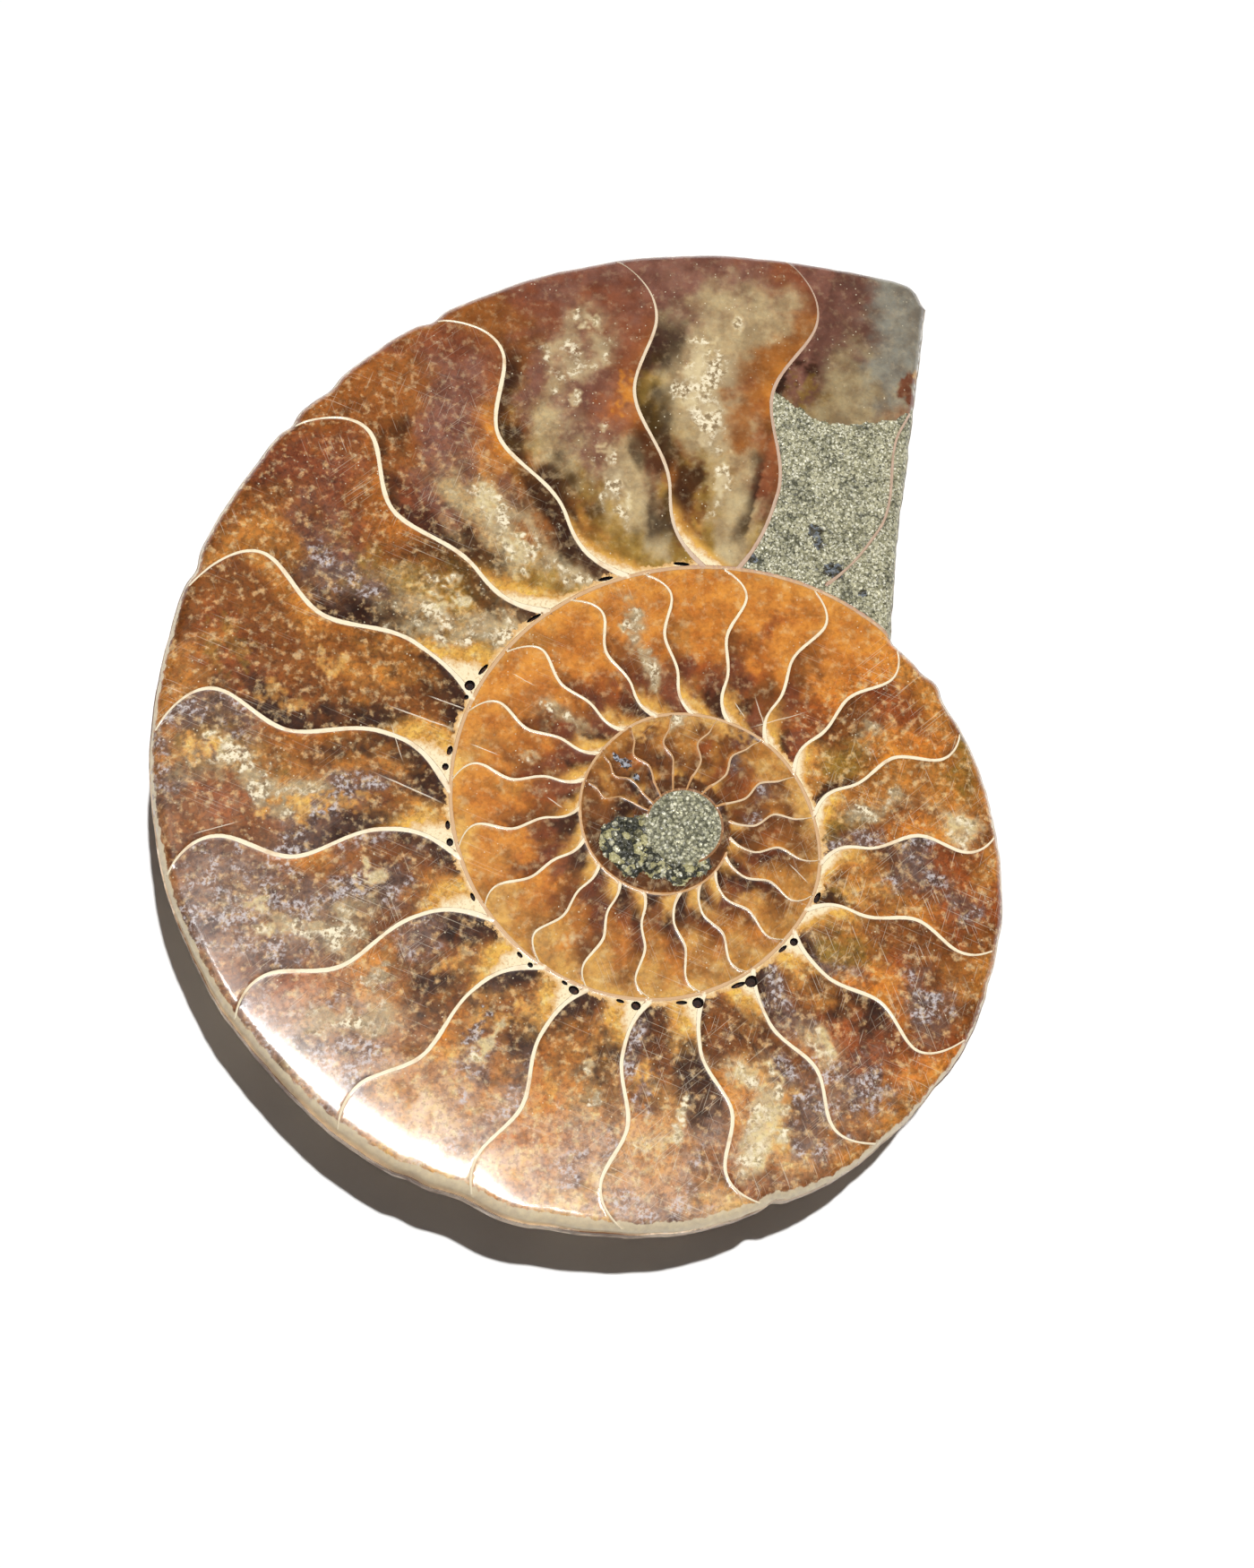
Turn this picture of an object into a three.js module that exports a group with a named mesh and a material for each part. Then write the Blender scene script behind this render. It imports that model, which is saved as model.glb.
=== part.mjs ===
// Half of an ammonite, sawn through the middle of its coil: one stone with a flat polished
// face, a rounded polished edge and a natural back.
// Units are millimetres. The polished face looks along +Z and the long side of the stone
// runs along +Y. The coil is modelled about the Z axis with the polished face at z = 0, and
// is then moved so that the middle of the underside of its box is at the origin.

import * as THREE from "three";

// The coil: a logarithmic spiral that narrows as its growth angle, in degrees, runs inward.
const SPIRAL_RADIUS = 57.7;
const SPIRAL_NARROWING = 0.1366;

// Where the animal grew a little fatter or leaner than the spiral: growth angle, the span of
// growth that it lasts, and the share of the radius.
const SWELLINGS = [
  { at: 35, span: 22, share: -0.021 },
  { at: 110, span: 38, share: 0.013 },
  { at: 262, span: 50, share: -0.038 },
  { at: 412, span: 30, share: 0.021 },
];

// The sawn mouth of the shell: from the lip at the rim, by a knee, to the root at the coil.
const LIP_ANGLE = 62.6;
const KNEE = new THREE.Vector2(18.3, 21.2);
const ROOT_ANGLE = 39.6;

// The stone's section, from the polished face down. Depths and the rounding are lengths;
// places on the flank are shares of the whorl's radius. The innermost whorl is the growth
// angle past which no smaller whorl is made.
const THICKNESS = 9.2;
const EDGE_ROUNDING = 1.2;
const RIM_DEPTH = 3;
const FLANK_DEPTH_AT_LIP = 12;
const FLANK_THINNING = 0.8;
const FLANK_CREST = 0.6;
const UMBILICAL_SHOULDER = 0.36;
const UMBILICAL_SEAM = 0.28;
const SHOULDER_DROP = 0.1;
const INNERMOST_WHORL = 1080;

// How finely the outline and the section are divided.
const OUTLINE_STEP = 5;
const MOUTH_STEPS = 6;
const ROOT_STEPS = 2;
const ROUNDING_STEPS = 3;
const FACE_RINGS = [0.35, 0.7];
const BACK_RINGS = [
  0.985, 0.96, 0.92, 0.87, 0.81, 0.74, 0.67, 0.6, 0.52, 0.44, 0.39, 0.36,
  0.33, 0.3, 0.28, 0.25, 0.2, 0.155, 0.135, 0.12, 0.09, 0.05,
];

const STONE = new THREE.MeshStandardMaterial({
  name: "polished_fossil_stone",
  color: 0x8a5a36,
  roughness: 0.25,
  metalness: 0,
});

function radians(degrees) {
  return THREE.MathUtils.degToRad(degrees);
}

// The radius of the shell's outer wall at a growth angle.
function spiralRadius(growthAngle) {
  const swelling = SWELLINGS.reduce(
    (sum, { at, span, share }) =>
      sum + share * Math.exp(-(((growthAngle - at) / span) ** 2)),
    0,
  );
  return SPIRAL_RADIUS * Math.exp(swelling - SPIRAL_NARROWING * radians(growthAngle));
}

function spiralPoint(growthAngle) {
  const angle = radians(growthAngle);
  const radius = spiralRadius(growthAngle);
  return new THREE.Vector2(radius * Math.cos(angle), radius * Math.sin(angle));
}

// One column of the stone: a point of the outline, and how far its whorl has grown.
function column(point, growthAngle) {
  return { point, growthAngle };
}

// A straight run of columns along the sawn mouth, without its last point.
function mouthColumns(from, to, steps) {
  return Array.from({ length: steps }, (_, i) => {
    const point = from.clone().lerp(to, i / steps);
    return column(point, THREE.MathUtils.radToDeg(point.angle()));
  });
}

// The outline: once round the last whorl from the lip to the root, then along the mouth.
function outlineColumns() {
  const turn = 360 + ROOT_ANGLE - LIP_ANGLE;
  const steps = Math.round(turn / OUTLINE_STEP);
  const rim = Array.from({ length: steps }, (_, i) => {
    const growthAngle = LIP_ANGLE + (turn * i) / steps;
    return column(spiralPoint(growthAngle), growthAngle);
  });
  const root = spiralPoint(360 + ROOT_ANGLE);
  return [
    ...rim,
    column(root, 360 + ROOT_ANGLE),
    ...mouthColumns(root, KNEE, ROOT_STEPS).slice(1),
    ...mouthColumns(KNEE, spiralPoint(LIP_ANGLE), MOUTH_STEPS),
  ];
}

// How deep the natural flank lies below the face at a radius. A whorl is thickest at its
// crest and drops at its umbilical seam to the whorl before it, one turn further in.
function flankDepth(radius, growthAngle) {
  const whorlRadius = spiralRadius(growthAngle);
  const growth = (whorlRadius / spiralRadius(LIP_ANGLE)) ** FLANK_THINNING;
  const relief = (FLANK_DEPTH_AT_LIP - RIM_DEPTH) * growth;
  const v = Math.min(radius / whorlRadius, 1);
  if (v >= FLANK_CREST) {
    const across = (v - FLANK_CREST) / (1 - FLANK_CREST);
    return RIM_DEPTH + relief * Math.sqrt(1 - across ** 2);
  }
  const across = (FLANK_CREST - v) / (FLANK_CREST - UMBILICAL_SHOULDER);
  const shoulder = RIM_DEPTH + relief * (1 - SHOULDER_DROP * Math.min(across, 1) ** 2);
  if (v >= UMBILICAL_SHOULDER || growthAngle > INNERMOST_WHORL) {
    return shoulder;
  }
  const down = (UMBILICAL_SHOULDER - v) / (UMBILICAL_SHOULDER - UMBILICAL_SEAM);
  const inner = flankDepth(radius, growthAngle + 360);
  return THREE.MathUtils.lerp(shoulder, inner, THREE.MathUtils.smoothstep(down, 0, 1));
}

// The depth of the back below the face, with the crest of the flank worn flat.
function backDepth({ point, growthAngle }, share) {
  return Math.min(THICKNESS, flankDepth(point.length() * share, growthAngle));
}

// The outward direction of the outline at each column.
function outwardDirections(columns) {
  return columns.map((_, i) => {
    const before = columns.at(i - 1).point;
    const after = columns[(i + 1) % columns.length].point;
    const along = after.clone().sub(before).normalize();
    return new THREE.Vector2(along.y, -along.x);
  });
}

// Every ring of the stone, from the middle of the face, over the edge, to the middle of the
// back. Each ring holds one point for each column.
function stoneRings(columns) {
  const outward = outwardDirections(columns);
  const roundingRing = (turned) =>
    columns.map(({ point }, i) => {
      const inset = EDGE_ROUNDING * (1 - Math.sin(turned));
      const depth = EDGE_ROUNDING * (1 - Math.cos(turned));
      const at = point.clone().addScaledVector(outward[i], -inset);
      return new THREE.Vector3(at.x, at.y, -depth);
    });
  const edge = Array.from({ length: ROUNDING_STEPS + 1 }, (_, i) =>
    roundingRing(((Math.PI / 2) * i) / ROUNDING_STEPS),
  );
  const face = FACE_RINGS.map((share) =>
    edge[0].map((p) => new THREE.Vector3(p.x * share, p.y * share, 0)),
  );
  const back = [1, ...BACK_RINGS].map((share) =>
    columns.map((one) => {
      const at = one.point.clone().multiplyScalar(share);
      return new THREE.Vector3(at.x, at.y, -backDepth(one, share));
    }),
  );
  return [...face, ...edge, ...back];
}

// One closed body: the rings joined by quads, with a fan at the middle of each side.
function stoneGeometry() {
  const columns = outlineColumns();
  const rings = stoneRings(columns);
  const count = columns.length;
  const points = rings.flat();
  const faceCentre = points.push(new THREE.Vector3(0, 0, 0)) - 1;
  const backCentre = points.push(new THREE.Vector3(0, 0, -flankDepth(0, LIP_ANGLE))) - 1;
  const triangles = [];
  for (let i = 0; i < count; i++) {
    const next = (i + 1) % count;
    triangles.push(faceCentre, i, next);
    for (let ring = 0; ring < rings.length - 1; ring++) {
      const [a, b] = [ring * count + i, ring * count + next];
      const [c, d] = [a + count, b + count];
      triangles.push(a, c, b, b, c, d);
    }
    const last = (rings.length - 1) * count;
    triangles.push(backCentre, last + next, last + i);
  }
  const geometry = new THREE.BufferGeometry().setFromPoints(points);
  geometry.setIndex(triangles);
  geometry.computeVertexNormals();
  return geometry;
}

// Moves the stone so that the middle of the underside of its box is at the origin.
function standAtOrigin(geometry) {
  geometry.computeBoundingBox();
  const box = geometry.boundingBox;
  const middle = box.getCenter(new THREE.Vector3());
  return geometry.translate(-middle.x, -middle.y, -box.min.z);
}

const stone = new THREE.Mesh(standAtOrigin(stoneGeometry()), STONE);
stone.name = "ammonite_half";

const ammonite = new THREE.Group();
ammonite.add(stone);

export default ammonite;
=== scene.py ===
"""Half of an ammonite, sawn through the middle of its coil and polished.

The stone is one closed piece. Its polished face is laid out as a lapidary reads it: the shell
wall coils in a growing spiral, septa divide the coil into chambers, calcite of many tones fills
the chambers, and pyrite fills the core and the last chamber. The back is the natural flank.
Lengths are millimetres until a mesh is made, and growth angles are degrees along the coil.
"""

import logging
import math
from dataclasses import dataclass
from enum import Enum

import bmesh
import bpy
import numpy as np
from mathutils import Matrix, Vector, noise
from mathutils.geometry import delaunay_2d_cdt
from mathutils.kdtree import KDTree


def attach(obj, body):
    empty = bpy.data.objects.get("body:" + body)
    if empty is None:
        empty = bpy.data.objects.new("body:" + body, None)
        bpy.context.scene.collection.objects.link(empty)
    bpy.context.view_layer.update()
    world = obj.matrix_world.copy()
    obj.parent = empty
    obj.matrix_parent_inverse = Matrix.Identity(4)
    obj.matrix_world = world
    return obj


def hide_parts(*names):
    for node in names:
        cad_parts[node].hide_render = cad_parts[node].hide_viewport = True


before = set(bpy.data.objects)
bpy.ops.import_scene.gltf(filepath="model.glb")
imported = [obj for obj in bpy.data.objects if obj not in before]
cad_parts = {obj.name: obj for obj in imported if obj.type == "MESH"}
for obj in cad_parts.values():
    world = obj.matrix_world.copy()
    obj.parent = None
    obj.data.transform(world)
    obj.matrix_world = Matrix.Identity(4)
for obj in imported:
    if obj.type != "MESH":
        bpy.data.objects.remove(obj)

LOG = logging.getLogger("ammonite")
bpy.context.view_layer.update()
MM = 0.001
NODE = "ammonite_half"
INNER_START = 400.0  # the growth angle where the last whorl ends and the inner ones begin
FAR_OUTSIDE = -1.5  # a depth that stands for well outside an area, in millimetres
DISC_WALL = 0.03  # the half width of the wall round the core's disc, as a share of its radius
Array = np.ndarray
Colour = tuple[float, float, float]
Place = tuple[float, float, float]


def smooth(share: Array) -> Array:
    """Ease a share from 0 to 1, flat at both ends."""
    held = np.clip(share, 0.0, 1.0)
    return held * held * (3.0 - 2.0 * held)


def bell(value: Array, middle: float, span: float) -> Array:
    """Give a soft hump that is 1 at its middle and fades over its span."""
    return np.exp(-(((value - middle) / span) ** 2))


def ring(radius: Array, turn: Array) -> Array:
    """Place points by their distance from the coil's middle and their turn in degrees."""
    angle = np.radians(turn)
    return np.stack([radius * np.cos(angle), radius * np.sin(angle)], -1)


def turn_of(points: Array) -> Array:
    """Give the turn of points about the coil's middle, in degrees."""
    return np.degrees(np.arctan2(points[:, 1], points[:, 0]))


def run_of(line: Array) -> Array:
    """Measure how far along a line each of its points is."""
    return np.concatenate([[0], np.cumsum(np.linalg.norm(np.diff(line, axis=0), axis=1))])


def walk(line: Array, run: Array, at: Array) -> Array:
    """Give the places on a line at some lengths of its run."""
    return np.stack([np.interp(at, run, line[:, i]) for i in (0, 1)], -1)


def closed(loop: Array) -> Array:
    """Repeat a loop's first point at its end."""
    return np.vstack([loop, loop[:1]])


def rightward(steps: Array) -> Array:
    """Turn the steps along a line into directions that point to its right."""
    along = steps / np.linalg.norm(steps, axis=1)[:, None]
    return np.stack([along[:, 1], -along[:, 0]], -1)


def cloud(points: Array, size: float, seed: float, octaves: int = 3, fade: float = 0.9) -> Array:
    """Read soft noise between -1 and 1 at points on the face.

    Args:
        points: One row of x and y for each point.
        size: The size of the largest lumps.
        seed: The height at which the noise is cut, which picks the pattern.
        octaves: How many finer layers are added.
        fade: How fast the finer layers grow weaker.

    Returns:
        One value for each point.
    """
    return np.array(
        [noise.fractal(Vector((x / size, y / size, seed)), fade, 2.1, octaves) for x, y in points]
    )


def cloud_along(growth: Array, size: float, seed: float) -> Array:
    """Read soft noise that changes only along the coil."""
    return cloud(np.stack([growth, growth * 0], -1), size, seed)


def inner_whorls(growth: Array) -> Array:
    """Step from 0 in the last whorl to 1 in the whorls before it."""
    return smooth((growth - INNER_START + 4) / 8)


@dataclass(frozen=True)
class Swelling:
    """A stretch of growth where the coil is fatter or leaner than its spiral."""

    at: float
    span: float
    share: float


@dataclass(frozen=True)
class Coil:
    """The spiral of the shell's outer wall."""

    start_radius: float = 57.7
    narrowing: float = 0.1366
    swellings: tuple[Swelling, ...] = (
        Swelling(35, 22, -0.021),
        Swelling(110, 38, 0.013),
        Swelling(262, 50, -0.038),
        Swelling(412, 30, 0.021),
        Swelling(605, 90, 0.018),
        Swelling(697, 18, 0.026),
        Swelling(700, 30, 0.008),
        Swelling(790, 26, -0.020),
        Swelling(850, 18, -0.014),
        Swelling(925, 22, 0.016),
        Swelling(1060, 60, -0.05),
    )

    def radius(self, growth: Array) -> Array:
        """Give the outer wall's radius at a growth angle."""
        growth = np.asarray(growth, float)
        swell = sum(s.share * bell(growth, s.at, s.span) for s in self.swellings)
        return self.start_radius * np.exp(swell - self.narrowing * np.radians(growth))

    def point(self, growth: Array, across: Array) -> Array:
        """Place points in the coil.

        Args:
            growth: The growth angle.
            across: The share of the way from the inner wall to the outer one.

        Returns:
            One row of x and y for each point.
        """
        growth = np.asarray(growth, float)
        inner = self.radius(growth + 360)
        return ring(inner + (self.radius(growth) - inner) * across, growth)

    def locate(self, points: Array, first: float) -> tuple[Array, Array]:
        """Find the growth angle of points and how far across the whorl they are.

        Args:
            points: One row of x and y for each point.
            first: The growth angle at the mouth, where the coil ends.

        Returns:
            The growth angle and the share of the way across.
        """
        radius = np.hypot(points[:, 0], points[:, 1])
        growth = turn_of(points) % 360
        growth = np.where(growth < first, growth + 360, growth)
        for _ in range(4):
            growth = np.where(radius < self.radius(growth + 360), growth + 360, growth)
        inner = self.radius(growth + 360)
        return growth, (radius - inner) / (self.radius(growth) - inner)


COIL = Coil()


@dataclass(frozen=True)
class Septum:
    """A wall between two chambers, by the growth angle of each turn of its wavy line."""

    hook: float
    saddle: float
    bulge: float
    waist: float
    foot: float
    low: float = 0.0
    high: float = 0.985
    thickness: float = 1.0

    def growth(self, across: Array) -> Array:
        """Give the growth angle of the line at a share of the way across the whorl."""
        s = np.asarray(across, float)
        top = self.saddle + (self.hook - self.saddle) * (np.clip(s - 0.79, 0, None) / 0.17) ** 2
        upper = self.bulge + (self.saddle - self.bulge) * smooth((s - 0.55) / 0.24)
        lower = self.waist + (self.bulge - self.waist) * smooth((s - 0.24) / 0.31)
        base = self.waist + (self.foot - self.waist) * (np.clip(0.24 - s, 0, 0.24) / 0.24) ** 3
        return np.where(s > 0.79, top, np.where(s > 0.55, upper, np.where(s > 0.24, lower, base)))


SEPTA = (
    Septum(59, 59.1, 58.9, 54.1, 57.2, 0.03, 0.645, 0.75),
    Septum(75.7, 72.3, 75.2, 70.8, 74),
    Septum(92.4, 89.6, 92.8, 88.3, 81),
    Septum(111.9, 107.4, 111.8, 106.7, 98),
    Septum(130.6, 125.6, 129.8, 125.6, 118),
    Septum(151, 145.1, 148, 143.6, 147),
    Septum(168, 163, 166, 162, 172),
    Septum(185, 181.7, 185.3, 181.4, 190),
    Septum(204, 200.8, 203.7, 200.4, 209),
    Septum(222, 219.8, 222.8, 219.9, 228),
    Septum(241, 238.7, 241, 237.3, 242),
    Septum(260, 256.9, 259.6, 256, 261),
    Septum(280, 276.1, 279, 274.4, 278),
    Septum(299, 295.1, 297.6, 293, 296),
    Septum(320, 314.7, 317, 312.6, 316),
    Septum(337, 334.4, 337, 332.3, 325),
    Septum(357, 353.7, 356.5, 351.7, 343),
    Septum(377, 373.2, 376.3, 371.3, 362),
    Septum(397, 393, 395.1, 390.5, 382),
    Septum(416, 411.4, 413, 408.4, 400),
    Septum(435, 430.2, 432.2, 427.8, 419.5),
    Septum(452.5, 448.1, 450.3, 445.8, 438),
    Septum(470.5, 466, 469, 464.3, 457),
    Septum(490.5, 484.8, 486.8, 482.2, 476),
    Septum(508.5, 503.8, 506, 501.4, 495),
    Septum(527, 522.5, 524.6, 519.2, 513),
    Septum(545, 540.5, 542.5, 537.8, 531),
    Septum(563, 560, 561.5, 557.5, 551),
    Septum(584, 578.5, 580.4, 575.7, 570),
    Septum(600, 597, 598.3, 592.8, 588),
    Septum(619, 614.7, 615.9, 610.8, 606),
    Septum(635.5, 632.2, 633.3, 628, 634),
    Septum(652.5, 649.5, 651.5, 645, 651),
    Septum(670, 667, 668.3, 661.7, 668),
    Septum(689, 684.7, 686.8, 680, 685),
    Septum(704, 702.7, 705.5, 698, 703),
    Septum(721.5, 721, 724, 716.5, 720),
    Septum(740.5, 741, 744, 737.6, 739.5, -0.16),
    Septum(762.5, 764, 767.5, 761.1, 763.5, -0.17),
    Septum(785.5, 786.3, 791, 783.7, 786, -0.2),
    Septum(808.5, 809.8, 814.7, 807.6, 808, -0.22),
    Septum(831.5, 832.5, 838.2, 830.6, 833, -0.26),
    Septum(853.5, 854.8, 860, 852.4, 855, -0.3),
    Septum(873.5, 874.5, 880, 873, 874, -0.32),
)


class Tone(Enum):
    """The tones of the stone that fills the chambers, as display colours."""

    MAROON = ("M", (0.47, 0.28, 0.20))
    RUST = ("R", (0.58, 0.33, 0.18))
    ORANGE = ("O", (0.83, 0.54, 0.25))
    AMBER = ("A", (0.72, 0.50, 0.25))
    GOLDEN = ("G", (0.88, 0.68, 0.39))
    OLIVE = ("L", (0.56, 0.45, 0.21))
    MISTY = ("Y", (0.66, 0.595, 0.46))
    SLATE = ("S", (0.555, 0.55, 0.51))
    MAUVE = ("U", (0.46, 0.32, 0.28))
    DRUSE = ("D", (0.68, 0.60, 0.46))
    CREAM = ("C", (0.95, 0.86, 0.68))
    DARK = ("K", (0.25, 0.155, 0.10))
    BROWN = ("B", (0.52, 0.33, 0.17))
    VIOLET = ("V", (0.45, 0.37, 0.35))

    @classmethod
    def read(cls, letter: str) -> "Tone":
        """Find a tone by its letter."""
        return next(tone for tone in cls if tone.value[0] == letter)


# Each chamber from the mouth inward, painted from the rim to the inner wall in five rows. A
# row runs from the chamber's outer septum to its inner one, in three patches or in five.
CHAMBERS = (
    "SSS SSS RGY YYY YYY",
    "SSSUU SSYUU RYYLK YYYYY YYYYY",
    "MUUUU BYYYU MBDYL MYDLB LYYLA",
    "UMUMB MUDUB RUUYL MYDLB LYLLA",
    "BMBBB MUUBB AUYUM KBDYB KDLLG",
    "BMBBA BMUBA BBLVK ALYDK KDDLG",
    "BBRAA ABBRK ABBBK KAABK KKBAG",
    "VAVBB VLDRB BADVV KAVBK KKKAG",
    "BVVBB VVDVV AVVDB VBVVB KKBAG",
    "VVVVV RVDVV AADBA VVBKB KKBGG",
    "VGGVG VGAGV AGVAV VGBKK KKBGG",
    "OGGGG OORVV OAYGA KAAKK KKBGG",
    "VVVGG LAAVB AGAKB VKBKK KKBGG",
    "RBBAA BCGVV ACGVB KBBKB KBBGG",
    "BAAOO VVVRR VCRKK VVBAB KVBGG",
    "RBBAA BVVBB OORBB VLLAB KVBGG",
    "BRRAA BRVRR ABVVV BGAAB KLBGG",
    "BAALL ACAAA OBDAA VBDAA VLLGG",
    "BAAAA OORRR AADBB KLLBB KAAGG",
    "OOO OOO OOB RRM MKG",
    "OOO ORO OOB BRM MKG",
    "OOO OOO OOA MRM KBG",
    "OOO ODO ODB MDM MBG",
    "OOA OOO OOB MRM KBG",
    "OOO OOO ODB BDM MKG",
    "OOG OAO OAB MRM MKG",
    "OAG OOO AOB MRB MKG",
    "GOA OAO OOB MBM KKG",
    "GGA GOA OOB MBB KKG",
    "GGG GOB AOB MBM KBG",
    "GGG GOA AOB BRK KBG",
    "GGG GAO AOB BMK KBG",
    "GAG AAO GAB KBK KBG",
    "AGA GAO AAB GBM KBG",
    "AGA AAB GAK BMK KKB",
    "AGA AAB AAK MAM KBB",
    "BAG BBB BRB BBB KBB",
    "GGG BGB BBV VBB BRB",
    "AGA GGA RBV RBR BRB",
    "VBG RBA BAR RAB BAB",
    "GGC BGA AAB BAB BAB",
    "GAG ABB ABB BKB BBB",
    "AAA BAB RAB BBK KBB",
    "AAB AGB BAA KRB KKB",
    "BAB BBB BBB KKK KKK",
)


@dataclass(frozen=True)
class Accent:
    """A small patch of one tone, laid over its chamber's patches."""

    at: float
    across: float
    span: float
    reach: float
    letter: str
    share: float


ACCENTS = (
    Accent(59.9, 0.655, 1.4, 0.05, "M", 0.95),
    Accent(60.6, 0.75, 0.8, 0.03, "G", 0.7),
    Accent(72.6, 0.64, 1.3, 0.04, "K", 0.8),
    Accent(72.4, 0.57, 1.5, 0.05, "L", 0.6),
    Accent(84.8, 0.65, 1.5, 0.05, "C", 0.95),
    Accent(85.0, 0.57, 1.2, 0.06, "C", 0.9),
    Accent(83.3, 0.45, 1.1, 0.06, "C", 0.95),
    Accent(79.4, 0.27, 1.1, 0.06, "C", 0.95),
    Accent(80.6, 0.75, 0.6, 0.025, "C", 0.8),
    Accent(84.8, 0.20, 2.2, 0.10, "B", 0.7),
    Accent(97.2, 0.81, 1.0, 0.03, "C", 0.95),
    Accent(100.5, 0.58, 0.7, 0.025, "C", 0.8),
    Accent(96.9, 0.27, 1.2, 0.06, "C", 0.95),
    Accent(97.6, 0.41, 0.9, 0.05, "C", 0.8),
    Accent(93.6, 0.55, 1.5, 0.06, "O", 0.95),
    Accent(117.5, 0.37, 1.4, 0.07, "C", 0.9),
    Accent(116.9, 0.20, 2.4, 0.05, "C", 0.95),
    Accent(112.8, 0.55, 1.3, 0.05, "O", 0.9),
    Accent(132.5, 0.25, 2.6, 0.06, "C", 0.9),
    Accent(138.5, 0.22, 3.0, 0.06, "C", 0.7),
    Accent(157.5, 0.79, 3.0, 0.07, "L", 0.6),
    Accent(153.9, 0.46, 2.0, 0.04, "G", 0.8),
    Accent(161.5, 0.60, 1.6, 0.06, "G", 0.6),
    Accent(149.3, 0.32, 3.0, 0.06, "K", 0.5),
    Accent(169.8, 0.75, 1.5, 0.05, "C", 0.85),
    Accent(172.9, 0.66, 1.8, 0.05, "D", 0.8),
    Accent(178.1, 0.52, 1.5, 0.10, "G", 0.85),
    Accent(170.4, 0.84, 1.6, 0.05, "G", 0.9),
    Accent(176.0, 0.36, 1.5, 0.10, "G", 0.7),
    Accent(190.2, 0.32, 2.0, 0.04, "C", 0.9),
    Accent(193.4, 0.72, 2.2, 0.05, "C", 0.85),
    Accent(203.8, 0.27, 2.4, 0.06, "V", 0.9),
    Accent(207.0, 0.45, 2.6, 0.07, "D", 0.8),
    Accent(211.9, 0.23, 1.5, 0.08, "G", 0.6),
    Accent(226.0, 0.35, 1.6, 0.06, "V", 0.9),
    Accent(228.7, 0.22, 1.1, 0.06, "G", 0.9),
    Accent(229.6, 0.40, 1.1, 0.10, "C", 0.8),
    Accent(230.2, 0.62, 2.0, 0.08, "G", 0.85),
    Accent(243.2, 0.48, 2.2, 0.10, "G", 0.7),
    Accent(249.2, 0.35, 1.0, 0.08, "C", 0.75),
    Accent(252.6, 0.49, 1.2, 0.07, "D", 0.85),
    Accent(261.3, 0.91, 4.0, 0.06, "V", 0.9),
    Accent(262.0, 0.42, 1.8, 0.08, "V", 0.8),
    Accent(264.8, 0.66, 2.5, 0.06, "C", 0.6),
    Accent(269.8, 0.49, 0.9, 0.04, "C", 0.95),
    Accent(268.7, 0.58, 0.8, 0.06, "C", 0.95),
    Accent(289.6, 0.47, 1.1, 0.05, "C", 0.95),
    Accent(288.4, 0.60, 1.2, 0.07, "C", 0.95),
    Accent(286.6, 0.70, 1.2, 0.06, "C", 0.9),
    Accent(292.0, 0.62, 1.3, 0.08, "V", 0.8),
    Accent(297.6, 0.50, 2.0, 0.05, "V", 0.8),
    Accent(303.8, 0.76, 4.0, 0.12, "V", 0.7),
    Accent(461.2, 0.68, 1.2, 0.05, "C", 0.8),
    Accent(457.3, 0.34, 1.2, 0.06, "C", 0.7),
    Accent(495.0, 0.44, 5.0, 0.05, "Y", 0.6),
    Accent(514.1, 0.46, 2.0, 0.07, "C", 0.5),
    Accent(588.5, 0.67, 3.0, 0.06, "C", 0.5),
    Accent(772.8, 0.92, 7.0, 0.12, "G", 0.9),
    Accent(823.5, 0.82, 7.0, 0.12, "G", 0.9),
)


@dataclass(frozen=True)
class Pore:
    """A small dark opening in the crust on the outer side of the inner whorl's wall."""

    at: float
    across: float
    length: float
    height: float

    def outline(self, share: float, sides: int = 12) -> Array:
        """Give the oval outline, shrunk to a share of its size."""
        turn = np.linspace(0, 2 * np.pi, sides, endpoint=False)
        middle = COIL.point(self.at, self.across)
        angle = math.radians(self.at + 90)
        along = np.array([math.cos(angle), math.sin(angle)])
        out = np.array([along[1], -along[0]])
        half, rise = share * self.length / 2, share * self.height / 2
        return middle + np.outer(np.cos(turn) * half, along) + np.outer(np.sin(turn) * rise, out)


PORES = (
    Pore(86, 0.012, 1.3, 0.30),
    Pore(103, 0.014, 1.2, 0.32),
    Pore(122, 0.013, 1.3, 0.30),
    Pore(139.5, 0.018, 1.1, 0.34),
    Pore(144.6, 0.028, 0.85, 0.80),
    Pore(147.5, 0.020, 0.40, 0.34),
    Pore(161.5, 0.016, 0.75, 0.42),
    Pore(165.8, 0.022, 0.55, 0.50),
    Pore(180.8, 0.018, 0.70, 0.36),
    Pore(185.3, 0.022, 0.62, 0.52),
    Pore(200.8, 0.018, 0.66, 0.30),
    Pore(220.8, 0.020, 0.55, 0.30),
    Pore(224.8, 0.026, 0.45, 0.36),
    Pore(235.3, 0.016, 0.50, 0.26),
    Pore(238.6, 0.028, 0.82, 0.62),
    Pore(252, 0.018, 0.62, 0.26),
    Pore(256.8, 0.030, 0.72, 0.66),
    Pore(270.4, 0.024, 0.85, 0.30),
    Pore(275.4, 0.040, 0.86, 0.80),
    Pore(289.2, 0.030, 1.15, 0.36),
    Pore(293.6, 0.046, 1.0, 0.86),
    Pore(308.5, 0.022, 0.8, 0.30),
    Pore(313, 0.040, 0.62, 0.60),
    Pore(330.8, 0.024, 0.95, 0.40),
)


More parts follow.
